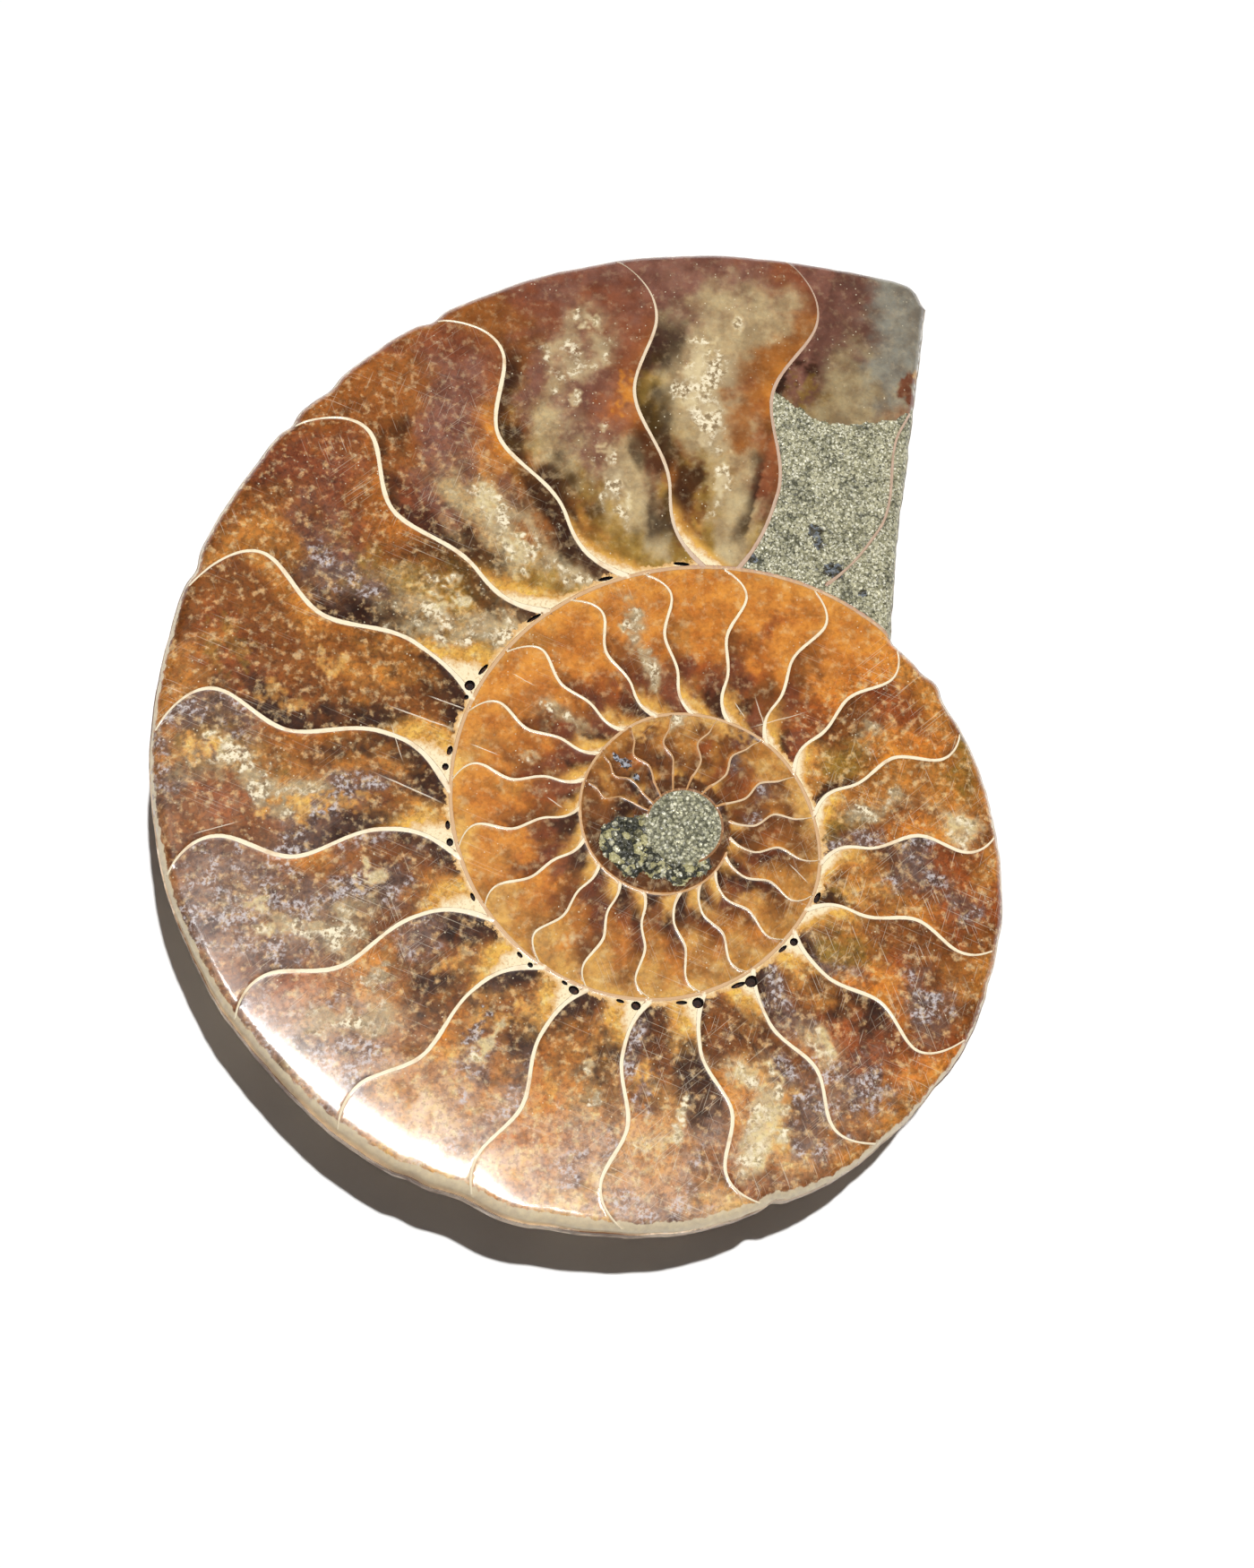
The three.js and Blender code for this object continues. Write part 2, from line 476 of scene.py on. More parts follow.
@dataclass(frozen=True)
class Vein:
    """A line of shell laid into the face, with its half width at each point."""

    middle: Array
    half: Array
    coiled: bool

    def within(self, outline: Array, margin: float = 0.36) -> "Vein":
        """Give the part of the line that keeps a margin from the rim."""
        keep = np.flatnonzero(inside_loop(self.middle, outline) > margin)
        kept = slice(keep[0], keep[-1] + 1)
        return Vein(self.middle[kept], self.half[kept], self.coiled)

    def sides(self) -> tuple[Array, Array]:
        """Give the two edges of the line, the right one first."""
        right = rightward(np.gradient(self.middle, axis=0)) * self.half[:, None]
        return self.middle + right, self.middle - right


@dataclass(frozen=True)
class RimFlaw:
    """A chip or a swelling of the rim, by its growth angle, its span and how far it stands out."""

    at: float
    span: float
    out: float


@dataclass
class Outline:
    """The rim of the stone and its sawn mouth, seen from above."""

    lip: float = 62.6
    root: float = 39.6
    knee: tuple[float, float] = (18.3, 21.2)
    columns: int = 660
    rim_points: int = 2400
    mouth_points: int = 160
    unevenness: float = 0.1
    mouth_wear: float = 0.12
    flaws: tuple[RimFlaw, ...] = (
        RimFlaw(66, 4, 0.35),
        RimFlaw(62.4, 1.5, -1.5),
        RimFlaw(113, 1.1, -0.32),
        RimFlaw(126, 1.4, -0.30),
        RimFlaw(131.5, 0.9, -0.28),
        RimFlaw(150.5, 1.2, -0.30),
        RimFlaw(214, 17, -0.35),
        RimFlaw(239, 4.0, -0.5),
        RimFlaw(233, 2.0, -0.25),
        RimFlaw(268, 9, 0.25),
        RimFlaw(283, 1.2, -0.30),
        RimFlaw(294, 6, 0.2),
        RimFlaw(322, 6, 0.2),
        RimFlaw(358, 7, -0.15),
        RimFlaw(388, 2.2, 0.35),
    )

    def rim_radius(self, growth: Array) -> Array:
        """Give the rim's radius with its chips and its fine unevenness."""
        worn = sum(f.out * bell(growth, f.at, f.span) for f in self.flaws)
        return COIL.radius(growth) + worn + cloud_along(growth, 5.0, 3.3) * self.unevenness

    def loop(self) -> tuple[Array, Array]:
        """Lay out the outline as evenly spaced points.

        Returns:
            The points, and the growth angle of the whorl whose flank each point belongs to.
        """
        growth = np.linspace(self.lip, 360 + self.root, self.rim_points)
        rim = ring(self.rim_radius(growth), growth)
        knee = np.array(self.knee)
        below = rim[-1] + (knee - rim[-1]) * np.linspace(0, 1, self.mouth_points // 3)[1:, None]
        above = knee + (rim[0] - knee) * np.linspace(0, 1, self.mouth_points)[1:-1, None]
        mouth = np.concatenate([below, above])
        mouth[:, 0] += cloud(mouth, 2.0, 7.7) * self.mouth_wear
        path = closed(np.concatenate([rim, mouth]))
        own = np.concatenate([growth, turn_of(mouth)])
        run = run_of(path)
        at = np.linspace(0, run[-1], self.columns, endpoint=False)
        owner = np.clip(np.searchsorted(run, at), 0, len(own) - 1)
        return walk(path, run, at), own[owner]


@dataclass
class Flank:
    """The natural back, which bulges below the face and is worn flat where it rests."""

    thickness: float = 9.2
    rounding: float = 1.2
    rim_depth: float = 3.0
    depth_at_lip: float = 12.0
    thinning: float = 0.8
    crest: float = 0.6
    shoulder: float = 0.36
    seam: float = 0.28
    shoulder_drop: float = 0.1
    innermost: float = 1080.0
    rib_spacing: float = 11.0
    rib_depth: float = 0.28
    rib_sweep: float = 57.2
    roughness: float = 0.07

    def natural(self, radius: Array, growth: Array, lip: float) -> Array:
        """Give the depth of the flank below the face, before it is worn flat.

        Args:
            radius: The distance from the coil's middle.
            growth: The growth angle of the whorl.
            lip: The growth angle at the lip, where the whorl is thickest.

        Returns:
            The depth at each place.
        """
        whorl = COIL.radius(growth)
        relief = (self.depth_at_lip - self.rim_depth) * (whorl / COIL.radius(lip)) ** self.thinning
        v = np.minimum(radius / whorl, 1.0)
        outer = np.sqrt(np.clip(1 - ((v - self.crest) / (1 - self.crest)) ** 2, 0, 1))
        across = np.clip((self.crest - v) / (self.crest - self.shoulder), 0, 1)
        share = np.where(v >= self.crest, outer, 1 - self.shoulder_drop * across**2)
        depth = self.rim_depth + relief * share
        inside = (v < self.shoulder) & (growth <= self.innermost)
        if inside.any():
            before = self.natural(radius[inside], growth[inside] + 360, lip)
            down = smooth((self.shoulder - v[inside]) / (self.shoulder - self.seam))
            depth[inside] += (before - depth[inside]) * down
        return depth


OUTLINE = Outline()
FLANK = Flank()


@dataclass
class PolishedFace:
    """The sawn and polished face: one plane cut into chambers, septa, wall, pores and pyrite."""

    grain: float = 0.215
    pyrite_grain: float = 0.15
    septum_half: float = 0.185
    wall_half: float = 0.16
    unevenness: float = 0.2
    foot_swelling: float = 0.45
    tip_thinning: float = 0.5
    disc_middle: tuple[float, float] = (0.81, -0.35)
    disc_radius: float = 2.83
    wall_start: float = 400.6
    wall_meets_disc: float = 1046.0
    blob: tuple[tuple[float, float], ...] = (
        (-1.9, 0.6), (-3.1, 0.3), (-4.2, 0.35), (-5.1, -0.25), (-5.5, -1.55), (-5.1, -2.6),
        (-4.3, -3.25), (-3.75, -4.1), (-3.0, -4.25), (-2.35, -3.75), (-1.75, -4.45),
        (-0.75, -4.25), (-0.15, -4.85), (0.55, -4.9), (1.1, -4.25), (2.05, -4.1), (2.7, -3.5),
        (2.0, -1.0), (0.0, 0.5),
    )
    mouth_fill: tuple[tuple[float, float], ...] = (
        (39, 1.6), (56.5, 1.2), (58, 0.68), (60, 0.575), (63, 0.53), (66, 0.50), (68.5, 0.49),
        (71.5, 0.52), (76, 0.565),
    )
    hollows: tuple[tuple[float, float, float], ...] = (
        (11.9, 23.0, 0.75), (12.15, 22.2, 0.7), (13.4, 19.8, 0.8), (12.9, 20.1, 0.6),
        (6.9, 20.8, 0.55), (15.4, 18.1, 0.5), (-3.4, 4.4, 0.62), (-2.6, 3.4, 0.34),
        (-4.1, 5.0, 0.4),
    )

    def septum_vein(self, septum: Septum) -> Vein:
        """Draw one septum, thicker at its foot and where it hooks over at the rim."""
        across = np.linspace(septum.low, septum.high, 400)
        line = COIL.point(septum.growth(across), across)
        run = run_of(line)
        at = np.linspace(0, run[-1], max(12, int(run[-1] / self.grain)))
        line = walk(line, run, at)
        across = np.interp(at, run, across)
        size = (COIL.radius(septum.saddle) / COIL.radius(100)) ** 0.55
        foot = self.foot_swelling * bell(across, 0.0, 0.07)
        tip = self.tip_thinning * smooth((across - 0.7) / 0.28)
        tip = tip * (1 + 0.4 * smooth((125 - septum.saddle) / 30))
        young = 1 - 0.3 * smooth((115 - septum.saddle) / 30)
        uneven = 1 + self.unevenness * cloud(line, 2.4, septum.saddle)
        half = self.septum_half * septum.thickness * size * young * (1 + foot - tip) * uneven
        return Vein(line, half, False)

    def wall_vein(self) -> Vein:
        """Draw the coiled wall between the whorls, down to the core's disc."""
        growth = np.concatenate([[self.wall_start], self.wall_start + np.cumsum(self.wall_steps())])
        radius = COIL.radius(growth)
        line = ring(radius, growth)
        size = (radius / COIL.radius(INNER_START)) ** 0.3
        half = self.wall_half * size * (1 + self.unevenness * cloud(line, 1.6, 2.2))
        return Vein(line, half, True)

    def wall_steps(self) -> Array:
        """Give growth steps that keep the wall's points evenly spaced along it."""
        steps, growth = [], self.wall_start
        while growth < self.wall_meets_disc:
            steps.append(math.degrees(self.grain * 0.9 / float(COIL.radius(growth))))
            growth += steps[-1]
        return np.array(steps)

    def veins(self) -> list[Vein]:
        """Give the line of every septum and of the wall."""
        return [self.septum_vein(s) for s in SEPTA] + [self.wall_vein()]

    def disc_loop(self, share: float) -> Array:
        """Give the outline of the core's round disc of pyrite, at a share of its size."""
        turn = np.linspace(0, 2 * np.pi, 96, endpoint=False)
        circle = np.stack([np.cos(turn), np.sin(turn)], -1) * self.disc_radius * share
        return np.array(self.disc_middle) + circle

    def from_disc(self, points: Array) -> Array:
        """Give the distance of points from the middle of the core's disc."""
        return np.linalg.norm(points - np.array(self.disc_middle), axis=1)

    def in_pyrite(self, points: Array, growth: Array, across: Array) -> Array:
        """Tell which points lie in pyrite.

        Args:
            points: One row of x and y for each point.
            growth: Their growth angles.
            across: Their shares of the way across the whorl.

        Returns:
            How far inside the pyrite each point is, about in millimetres, negative outside.
        """
        ragged = 0.16 * cloud(points, 0.7, 5.1, 2)
        disc = self.disc_radius - self.from_disc(points)
        crescent = inside_loop(points, np.array(self.blob)) + ragged
        rows = np.array(self.mouth_fill)
        line = np.interp(growth, rows[:, 0], rows[:, 1])
        fill = (line - across) * 28 + ragged * 1.6
        side = (SEPTA[1].growth(across) - growth) * 0.6
        fill = np.where(growth < 90, np.minimum(fill, side), -9.0)
        return np.maximum(np.maximum(disc, crescent), fill)


def inside_loop(points: Array, loop: Array) -> Array:
    """Measure how deep points lie inside a closed outline, negative outside it."""
    step = np.roll(loop, -1, axis=0) - loop
    offset = points[:, None] - loop[None]
    share = np.clip((offset * step).sum(-1) / (step**2).sum(-1), 0, 1)
    gap = np.linalg.norm(offset - share[..., None] * step, axis=-1).min(1)
    return np.where(is_inside(points, loop), gap, -gap)


class Ground(Enum):
    """What each facet of the stone is made of, in the order of the material slots."""

    CALCITE = 0
    SHELL = 1
    PORE = 2
    PYRITE = 3
    CRUST = 4


def linear(display: Colour) -> Array:
    """Turn a display colour into the light it stands for."""
    return np.asarray(display, float) ** 2.2


@dataclass
class ChamberPaint:
    """Lays the tones of the chambers: patches with ragged borders, painted glows of light through the
    calcite and painted shade bands.
    """

    columns: tuple[float, ...] = (0.08, 0.29, 0.5, 0.71, 0.92)
    rows: tuple[float, ...] = (0.93, 0.72, 0.5, 0.27, 0.08)
    patch_width: float = 0.25
    patch_height: float = 0.19
    raggedness: float = 1.3
    crispness: float = 3.0
    crumbling: float = 3.2
    mouth_span: float = 18.0
    core_span: float = 24.0
    # glow is painted light shining through the calcite behind each septum; shade is the colour of the
    # painted shade bands before the septa
    glow: Colour = (0.93, 0.60, 0.22)
    shade: Colour = (0.17, 0.10, 0.07)
    # The golden wedge at each septum's foot, also the colour of the painted glow by the inner whorls'
    # wall.
    wedge: Colour = (0.96, 0.74, 0.38)
    ember: Colour = (0.56, 0.27, 0.10)
    # Painted sheen: pale reflected light laid near the lower-left rim.
    painted_sheen: Colour = (0.96, 0.82, 0.72)

    def chambers(self, growth: Array, across: Array) -> tuple[Array, ...]:
        """Find the chamber of each point.

        Args:
            growth: The growth angle of each point.
            across: The share of the way across the whorl.

        Returns:
            The chamber's number, the angle past its outer septum, the angle left to its inner
            one, and the share of the way between them.
        """
        lines = np.stack([s.growth(across) for s in SEPTA])
        number = (lines < growth).sum(0)
        ends = np.concatenate([[lines[0] - self.mouth_span], lines, [lines[-1] + self.core_span]])
        own = np.arange(len(growth))
        before, after = ends[number, own], ends[number + 1, own]
        share = np.clip((growth - before) / (after - before), 0, 1)
        return number, growth - before, after - growth, share

    def tones(self, growth: Array, across: Array) -> tuple[Array, Array, Array]:
        """Mix the tone of each point from its chamber's patches.

        Args:
            growth: The growth angle of each point.
            across: The share of the way across the whorl.

        Returns:
            The tone of each point as light, how much it shows loose crystals, and how much it
            shows silvery flecks, a painted sheen.
        """
        number, past, left, share = self.chambers(growth, across)
        letters = [self.spread(chamber) for chamber in CHAMBERS]
        table = np.array([[Tone.read(c).value[1] for c in chamber] for chamber in letters])
        crystals = np.array([[c in "DC" for c in chamber] for chamber in letters], float)
        silver_sheens = np.array([[c == "V" for c in chamber] for chamber in letters], float)
        field = np.stack([growth / 7.5, across * 5.2], -1)
        drift = [cloud(field, 1.0, 11.0 + 3.7 * i, 5, 0.5) for i in range(6)]
        weights = []
        for j in range(25):
            row, column = divmod(j, 5)
            gap = ((share - self.columns[column]) / self.patch_width) ** 2
            gap = gap + ((across - self.rows[row]) / self.patch_height) ** 2
            ragged = self.raggedness * drift[(j * 5 + row) % 6]
            weights.append(np.exp(-self.crispness * (gap + ragged)))
        weights = np.stack(weights, -1)
        weights /= weights.sum(-1, keepdims=True)
        tone = (weights[..., None] * linear(table[number])).sum(1)
        druse = (weights * crystals[number]).sum(1)
        silver_sheen = (weights * silver_sheens[number]).sum(1)
        lighter = 1 + 0.4 * smooth((150 - growth) / 25) * (growth > 72)
        lighter = lighter + 0.12 * inner_whorls(growth) - 0.2 * smooth((growth - 560) / 30)
        tone = np.minimum(tone * lighter[:, None], 0.9)
        close = np.stack([growth / 2.4, across * 17.0], -1)
        crumbs = [cloud(close, 1.0, 51.0 + 4.1 * i, 4, 0.5) for i in range(2)]
        for i, accent in enumerate(ACCENTS):
            away = ((growth - accent.at) / accent.span) ** 2
            away = away + ((across - accent.across) / accent.reach) ** 2
            laid = smooth((1.1 - away + self.crumbling * crumbs[i % 2]) / 0.9)
            laid = laid * accent.share * (away < 4)
            tone = blend(tone, linear(Tone.read(accent.letter).value[1]), laid)
            druse = druse + (float(accent.letter in "DC") - druse) * laid
            silver_sheen = silver_sheen + (float(accent.letter == "V") - silver_sheen) * laid
        return self.dress(tone, growth, across, (number, past, left, share)), druse, silver_sheen

    @staticmethod
    def spread(chamber: str) -> str:
        """Write a chamber's five rows with five letters each."""
        rows = chamber.split()
        return "".join(r if len(r) == 5 else r[0] + r[0] + r[1] + r[2] + r[2] for r in rows)

    def dress(
        self,
        tone: Array,
        growth: Array,
        across: Array,
        chamber: tuple[Array, ...],
    ) -> Array:
        """Add the painted glow of light behind each septum, the painted shade band before it, a
        painted glow by the inner whorls' wall and the golden feet.
        """
        number, past, left, _ = chamber
        reach = COIL.radius(growth) * np.radians(1.0) * (0.25 + 0.75 * across)
        behind = past * reach
        before = left * reach
        size = (COIL.radius(growth) / 40) ** 0.8
        waver = cloud(np.stack([growth / 5, across * 6], -1), 1.0, 91.0)
        middle = bell(across, 0.52, 0.2)
        # Painted light: a glow behind each septum, where light shines through the calcite.
        glow = np.exp(-behind / (0.8 * size)) * middle * (0.75 + 0.6 * waver)
        glow = np.clip(glow, 0, 1) * np.where(number > 1, 1.0, 0.0)
        tone = blend(tone, linear(self.glow), glow * 0.75)
        # Painted shade: a dark band before each septum.
        dark = np.exp(-before / (0.9 * size)) * smooth((across - 0.1) / 0.2)
        dark = dark * (1 - smooth((across - 0.75) / 0.2)) * (0.7 + 0.7 * waver)
        young = smooth((150 - growth) / 25) * (growth > 74)
        tone = blend(tone, linear(self.shade), np.clip(dark, 0, 1) * 0.55)
        # Painted shade: dark bands by both septa of the young chambers.
        high = smooth((2.4 + 2.4 * waver - before) / 1.6) * smooth((across - 0.12) / 0.1)
        high = high * (1 - smooth((across - 0.72) / 0.1))
        low = smooth((2.0 + 1.8 * waver - behind) / 1.4) * smooth((0.5 - across) / 0.1)
        low = low * smooth((across - 0.05) / 0.08)
        tone = blend(tone, linear(self.shade), np.maximum(high, low) * young * 0.78)
        inner = inner_whorls(growth) * smooth((760 - growth) / 60)
        # Painted light: a glow in the wedge colour near the outer wall and behind the septa of the
        # inner whorls.
        lit = 0.8 * np.exp(-behind / 0.45) * smooth((across - 0.2) / 0.3)
        lit = np.clip((np.exp(-(1 - across) / 0.09) + lit) * (0.5 + 0.5 * waver), 0, 1)
        tone = blend(tone, linear(self.wedge), lit * inner * 0.6)
        core = bell(across, 0.42, 0.2) * np.clip(0.35 + waver, 0, 1)
        tone = blend(tone, linear(self.ember), core * inner * 0.45)
        golden = wedge_depth(growth, across, left, 1.9) + 0.35 * waver
        return blend(tone, linear(self.wedge), smooth((golden + 0.2) / 1.3) * 0.9)


def blend(under: Array, over: Array, share: Array) -> Array:
    """Lay one tone over another."""
    return under + (over - under) * np.clip(share, 0, 1)[:, None]


def wedge_depth(growth: Array, across: Array, left: Array, spread: float) -> Array:
    """Tell how deep points lie in the wedge of shell at the foot of the next septum.

    Args:
        growth: The growth angle of each point.
        across: The share of the way across the whorl.
        left: The angle left to the next septum.
        spread: How much wider than the plain wedge this one is.

    Returns:
        The depth inside the wedge in millimetres, negative outside.
    """
    tall, wide = 0.16 * spread, 7.6 * spread
    width = wide * np.clip(1 - across / tall, 0, 1) ** 1.4
    width = width * (0.5 + 0.5 * smooth((growth - 100) / 40))
    depth = (width - left) * np.radians(1.0) * COIL.radius(growth + 360)
    return np.where((across < tall) & (growth > 60), depth, FAR_OUTSIDE)


@dataclass
class Layout:
    """The flat cut of the polished face: its points and lines before they become facets."""

    points: Array
    lines: list[tuple[int, int]]


@dataclass
class FaceMaker:
    """Makes the polished face's facets from its lines, raises its relief and paints it."""

    face: PolishedFace
    offset: Array
    grain: float = 0.25
    row_share: float = 0.866
    scatter: float = 0.09
    clear: float = 0.12
    edge_rings: tuple[float, ...] = (0.3, 0.52, 0.8, 1.15)
    pore_depth: float = 0.4
    vein_rise: float = 0.05

    def __post_init__(self) -> None:
        """Draw the veins once, with a tree to find the nearest."""
        outline, _ = OUTLINE.loop()
        self.veins = [vein.within(outline) for vein in self.face.veins()]
        self.samples = np.concatenate([self.dense(v) for v in self.veins])
        self.tree = tree_of(self.samples[:, :2])

    def dense(self, vein: Vein) -> Array:
        """Give close samples of a vein: x, y, half width and the direction along it."""
        at = np.linspace(0, len(vein.middle) - 1, len(vein.middle) * 3)
        base = np.arange(len(vein.middle))
        line = walk(vein.middle, base, at)
        half = np.interp(at, base, vein.half)
        along = np.gradient(line, axis=0)
        along /= np.linalg.norm(along, axis=1)[:, None]
        kind = np.full(len(at), float(vein.coiled))
        return np.column_stack([line, half, along, kind])

    def lay_out(self, rim: Array, rings: list[Array]) -> Layout:
        """Gather the points and the lines that facets must follow.

        Args:
            rim: The face's edge, which the body meets.
            rings: Further loops inside the edge, where it is rounded.

        Returns:
            The layout for the triangulation.
        """
        tracks = [(rim, True)]
        tracks += [(path, False) for vein in self.veins for path in (*vein.sides(), vein.middle)]
        tracks += [(pore.outline(share), True) for pore in PORES for share in (1.0, 0.7)]
        tracks += [(self.face.disc_loop(share), True) for share in (1 - DISC_WALL, 1 + DISC_WALL)]
        lines, count = [], 0
        for path, is_loop in tracks:
            steps = len(path) if is_loop else len(path) - 1
            lines += [(count + i, count + (i + 1) % len(path)) for i in range(steps)]
            count += len(path)
        points = np.concatenate([path for path, _ in tracks])
        for extra in (np.concatenate(rings), self.grid(rim)):
            points = np.concatenate([points, self.thinned(extra, points)])
        return Layout(points, lines)

    def grid(self, rim: Array) -> Array:
        """Give evenly scattered points inside the edge, closer together in the pyrite."""
        picked = []
        for step, fine in ((self.grain, False), (self.face.pyrite_grain, True)):
            low, high = rim.min(0), rim.max(0)
            rows = np.arange(low[1], high[1], step * self.row_share)
            columns = np.arange(low[0], high[0], step)
            x, y = np.meshgrid(columns, rows)
            x[1::2] += step / 2
            points = np.stack([x.ravel(), y.ravel()], -1)
            points += np.random.default_rng(5).normal(0, step * self.scatter, points.shape)
            growth, across = COIL.locate(points, OUTLINE.root - 0.5)
            ore = self.face.in_pyrite(points, growth, across) > -0.1
            picked.append(points[ore == fine])
        points = np.concatenate(picked)
        return points[is_inside(points, rim)]

    def thinned(self, points: Array, fixed: Array) -> Array:
        """Drop the points that lie too close to fixed ones."""
        return points[nearest(tree_of(fixed), points)[1] > self.clear]

    def nearest_vein(self, points: Array) -> tuple[Array, Array]:
        """Find the nearest vein of each point.

        Args:
            points: One row of x and y for each point.

        Returns:
            The signed distance to the vein's middle as a share of its half width, and whether
            the vein is the coiled wall.
        """
        index, distance = nearest(self.tree, points)
        near = self.samples[index]
        offset = points - near[:, :2]
        side = np.sign(offset[:, 0] * near[:, 4] - offset[:, 1] * near[:, 3])
        return side * distance / near[:, 2], near[:, 5] > 0.5

    def build(self, rim: Array, rings: list[Array], drop: "EdgeDrop") -> bpy.types.Object:
        """Make the face.

        Args:
            rim: The face's edge.
            rings: Further loops inside the edge.
            drop: How the face falls away towards its edge.

        Returns:
            The face as an object, in metres.
        """
        layout = self.lay_out(rim, rings)
        corners = [Vector(p) for p in layout.points]
        points, _, facets, *_ = delaunay_2d_cdt(corners, layout.lines, [], 1, 1e-6, False)
        points = np.array([tuple(p) for p in points])
        facets = np.array(facets)
        facets = facets[is_inside(points[facets].mean(1), rim)]
        LOG.info("face: %d points, %d facets", len(points), len(facets))
        growth, across = COIL.locate(points, OUTLINE.root - 0.5)
        ground = self.ground(points[facets].mean(1))
        lateral, coiled = self.nearest_vein(points)
        gap = drop.gap(points)
        relief = self.relief(points, growth, across, lateral) * smooth((gap - 0.15) / 0.2)
        height = relief + drop.height(points)
        placed = np.column_stack([points + self.offset, height + FLANK.thickness]) * MM
        mesh = bpy.data.meshes.new("polished_face")
        mesh.from_pydata(placed.tolist(), [], facets.tolist())
        mesh.polygons.foreach_set("material_index", ground)
        self.paint(mesh, points, growth, across, lateral, coiled, gap)
        face = bpy.data.objects.new("polished_face", mesh)
        bpy.context.scene.collection.objects.link(face)
        return face

    def ground(self, middles: Array) -> Array:
        """Sort facets by what they are made of, from their middles."""
        growth, across = COIL.locate(middles, OUTLINE.root - 0.5)
        lateral, _ = self.nearest_vein(middles)
        kind = np.full(len(middles), Ground.CALCITE.value)
        kind[self.face.in_pyrite(middles, growth, across) > 0] = Ground.PYRITE.value
        kind[np.abs(lateral) < 1] = Ground.SHELL.value
        from_disc = self.face.from_disc(middles)
        turn = turn_of(middles - np.array(self.face.disc_middle))
        wall = np.abs(from_disc / self.face.disc_radius - 1) < DISC_WALL
        kind[from_disc < self.face.disc_radius] = Ground.PYRITE.value
        kind[wall & (turn > -70) & (turn < 165)] = Ground.SHELL.value
        for pore in PORES:
            kind[is_inside(middles, pore.outline(1.0))] = Ground.PORE.value
        return kind.astype(np.int32)

    def relief(self, points: Array, growth: Array, across: Array, lateral: Array) -> Array:
        """Give the small height of each point above or below the polished plane."""
        height = self.vein_rise * np.clip(1 - np.abs(lateral), 0, 1)
        ore = self.face.in_pyrite(points, growth, across)
        grains = cloud(points, 0.33, 9.0, 2) + 0.6 * cloud(points, 0.16, 19.0, 1)
        height += np.where((ore > 0.05) & (np.abs(lateral) > 0.9), grains * 0.10 - 0.03, 0)
        for pore in PORES:
            deep = is_inside(points, pore.outline(0.72))
            height[deep] = -self.pore_depth
        return height

    def paint(
        self,
        mesh: bpy.types.Mesh,
        points: Array,
        growth: Array,
        across: Array,
        lateral: Array,
        coiled: Array,
        gap: Array,
    ) -> None:
        """Store what the finishes read: the tone, the crystals, the shell and the rest."""
        paint = ChamberPaint()
        tone, druse, silver_sheen = paint.tones(growth, across)
        # Painted sheen: pale reflected light over the chambers near the rim at the lower left.
        painted_sheen = bell(growth, 236, 38) * smooth((11.5 - gap) / 7)
        painted_sheen = painted_sheen * np.clip(0.8 + 1.2 * cloud(points, 3.0, 71.0, 6, 0.5), 0, 1)
        # The rim's pale band: the shell's own edge, widened towards the lower left as a painted
        # highlight on the rounded edge.
        width = 0.24 + 0.75 * bell(growth, 240, 52) + 0.12 * cloud(points, 5.0, 8.0)
        at_cut = (growth < 66) & (points[:, 0] > 16)
        within = self.face.disc_radius - self.face.from_disc(points)
        at_core = np.hypot(points[:, 0], points[:, 1]) < 9
        busy = 0.25 + 0.75 * smooth((growth - 92) / 45)
        layers = {
            "tone": blend(tone, linear(paint.painted_sheen), 0.85 * painted_sheen),
            "druse": druse,
            "silver_sheen": silver_sheen,
            "lateral": np.clip(lateral, -3, 3),
            "shell": self.shell_reach(growth, across),
            "rim": np.where((growth < INNER_START) & ~at_cut, width - gap, FAR_OUTSIDE),
            "coiled": coiled.astype(float),
            "size": COIL.radius(growth) / 40,
            "core": smooth((0.15 - within) / 0.3) * at_core,
            "disc": smooth(within / 0.3),
            "busy": busy * (1 - 0.45 * inner_whorls(growth)),
            "pink": smooth((100 - growth) / 22),
            "hollow": self.hollows(points),
        }
        for name, values in layers.items():
            store(mesh, name, values)

    def hollows(self, points: Array) -> Array:
        """Tell how deep points lie in the bluish hollows of the pyrite and the core's lumps."""
        depth = np.full(len(points), -1.0)
        for x, y, size in self.face.hollows:
            away = np.hypot(points[:, 0] - x, points[:, 1] - y)
            depth = np.maximum(depth, (size - away) / size)
        return depth

    def shell_reach(self, growth: Array, across: Array) -> Array:
        """Tell how deep points lie in the cream crust by the wall, in millimetres."""
        _, _, left, _ = ChamberPaint().chambers(growth, across)
        outside = across * (COIL.radius(growth) - COIL.radius(growth + 360))
        thick = 0.48 + 0.3 * cloud_along(growth, 4.0, 44.0)
        crust = np.where((growth > 78) & (growth < INNER_START), thick - outside, FAR_OUTSIDE)
        wedge = wedge_depth(growth, across, left, 1.15)
        wedge = np.where(growth < INNER_START, wedge + 0.1, wedge - 0.3)
        wedge = np.where(growth < 700, wedge, FAR_OUTSIDE)
        return np.clip(np.maximum(crust, wedge), FAR_OUTSIDE, -FAR_OUTSIDE)


def store(mesh: bpy.types.Mesh, name: str, values: Array) -> None:
    """Store one value or one tone for each point of a mesh."""
    if values.ndim == 2:
        layer = mesh.attributes.new(name, "FLOAT_COLOR", "POINT")
        layer.data.foreach_set("color", np.column_stack([values, np.ones(len(values))]).ravel())
    else:
        layer = mesh.attributes.new(name, "FLOAT", "POINT")
        layer.data.foreach_set("value", np.asarray(values, np.float32))


def tree_of(points: Array) -> KDTree:
    """Index points of the face for finding the nearest."""
    tree = KDTree(len(points))
    for i, (x, y) in enumerate(points):
        tree.insert((x, y, 0), i)
    tree.balance()
    return tree


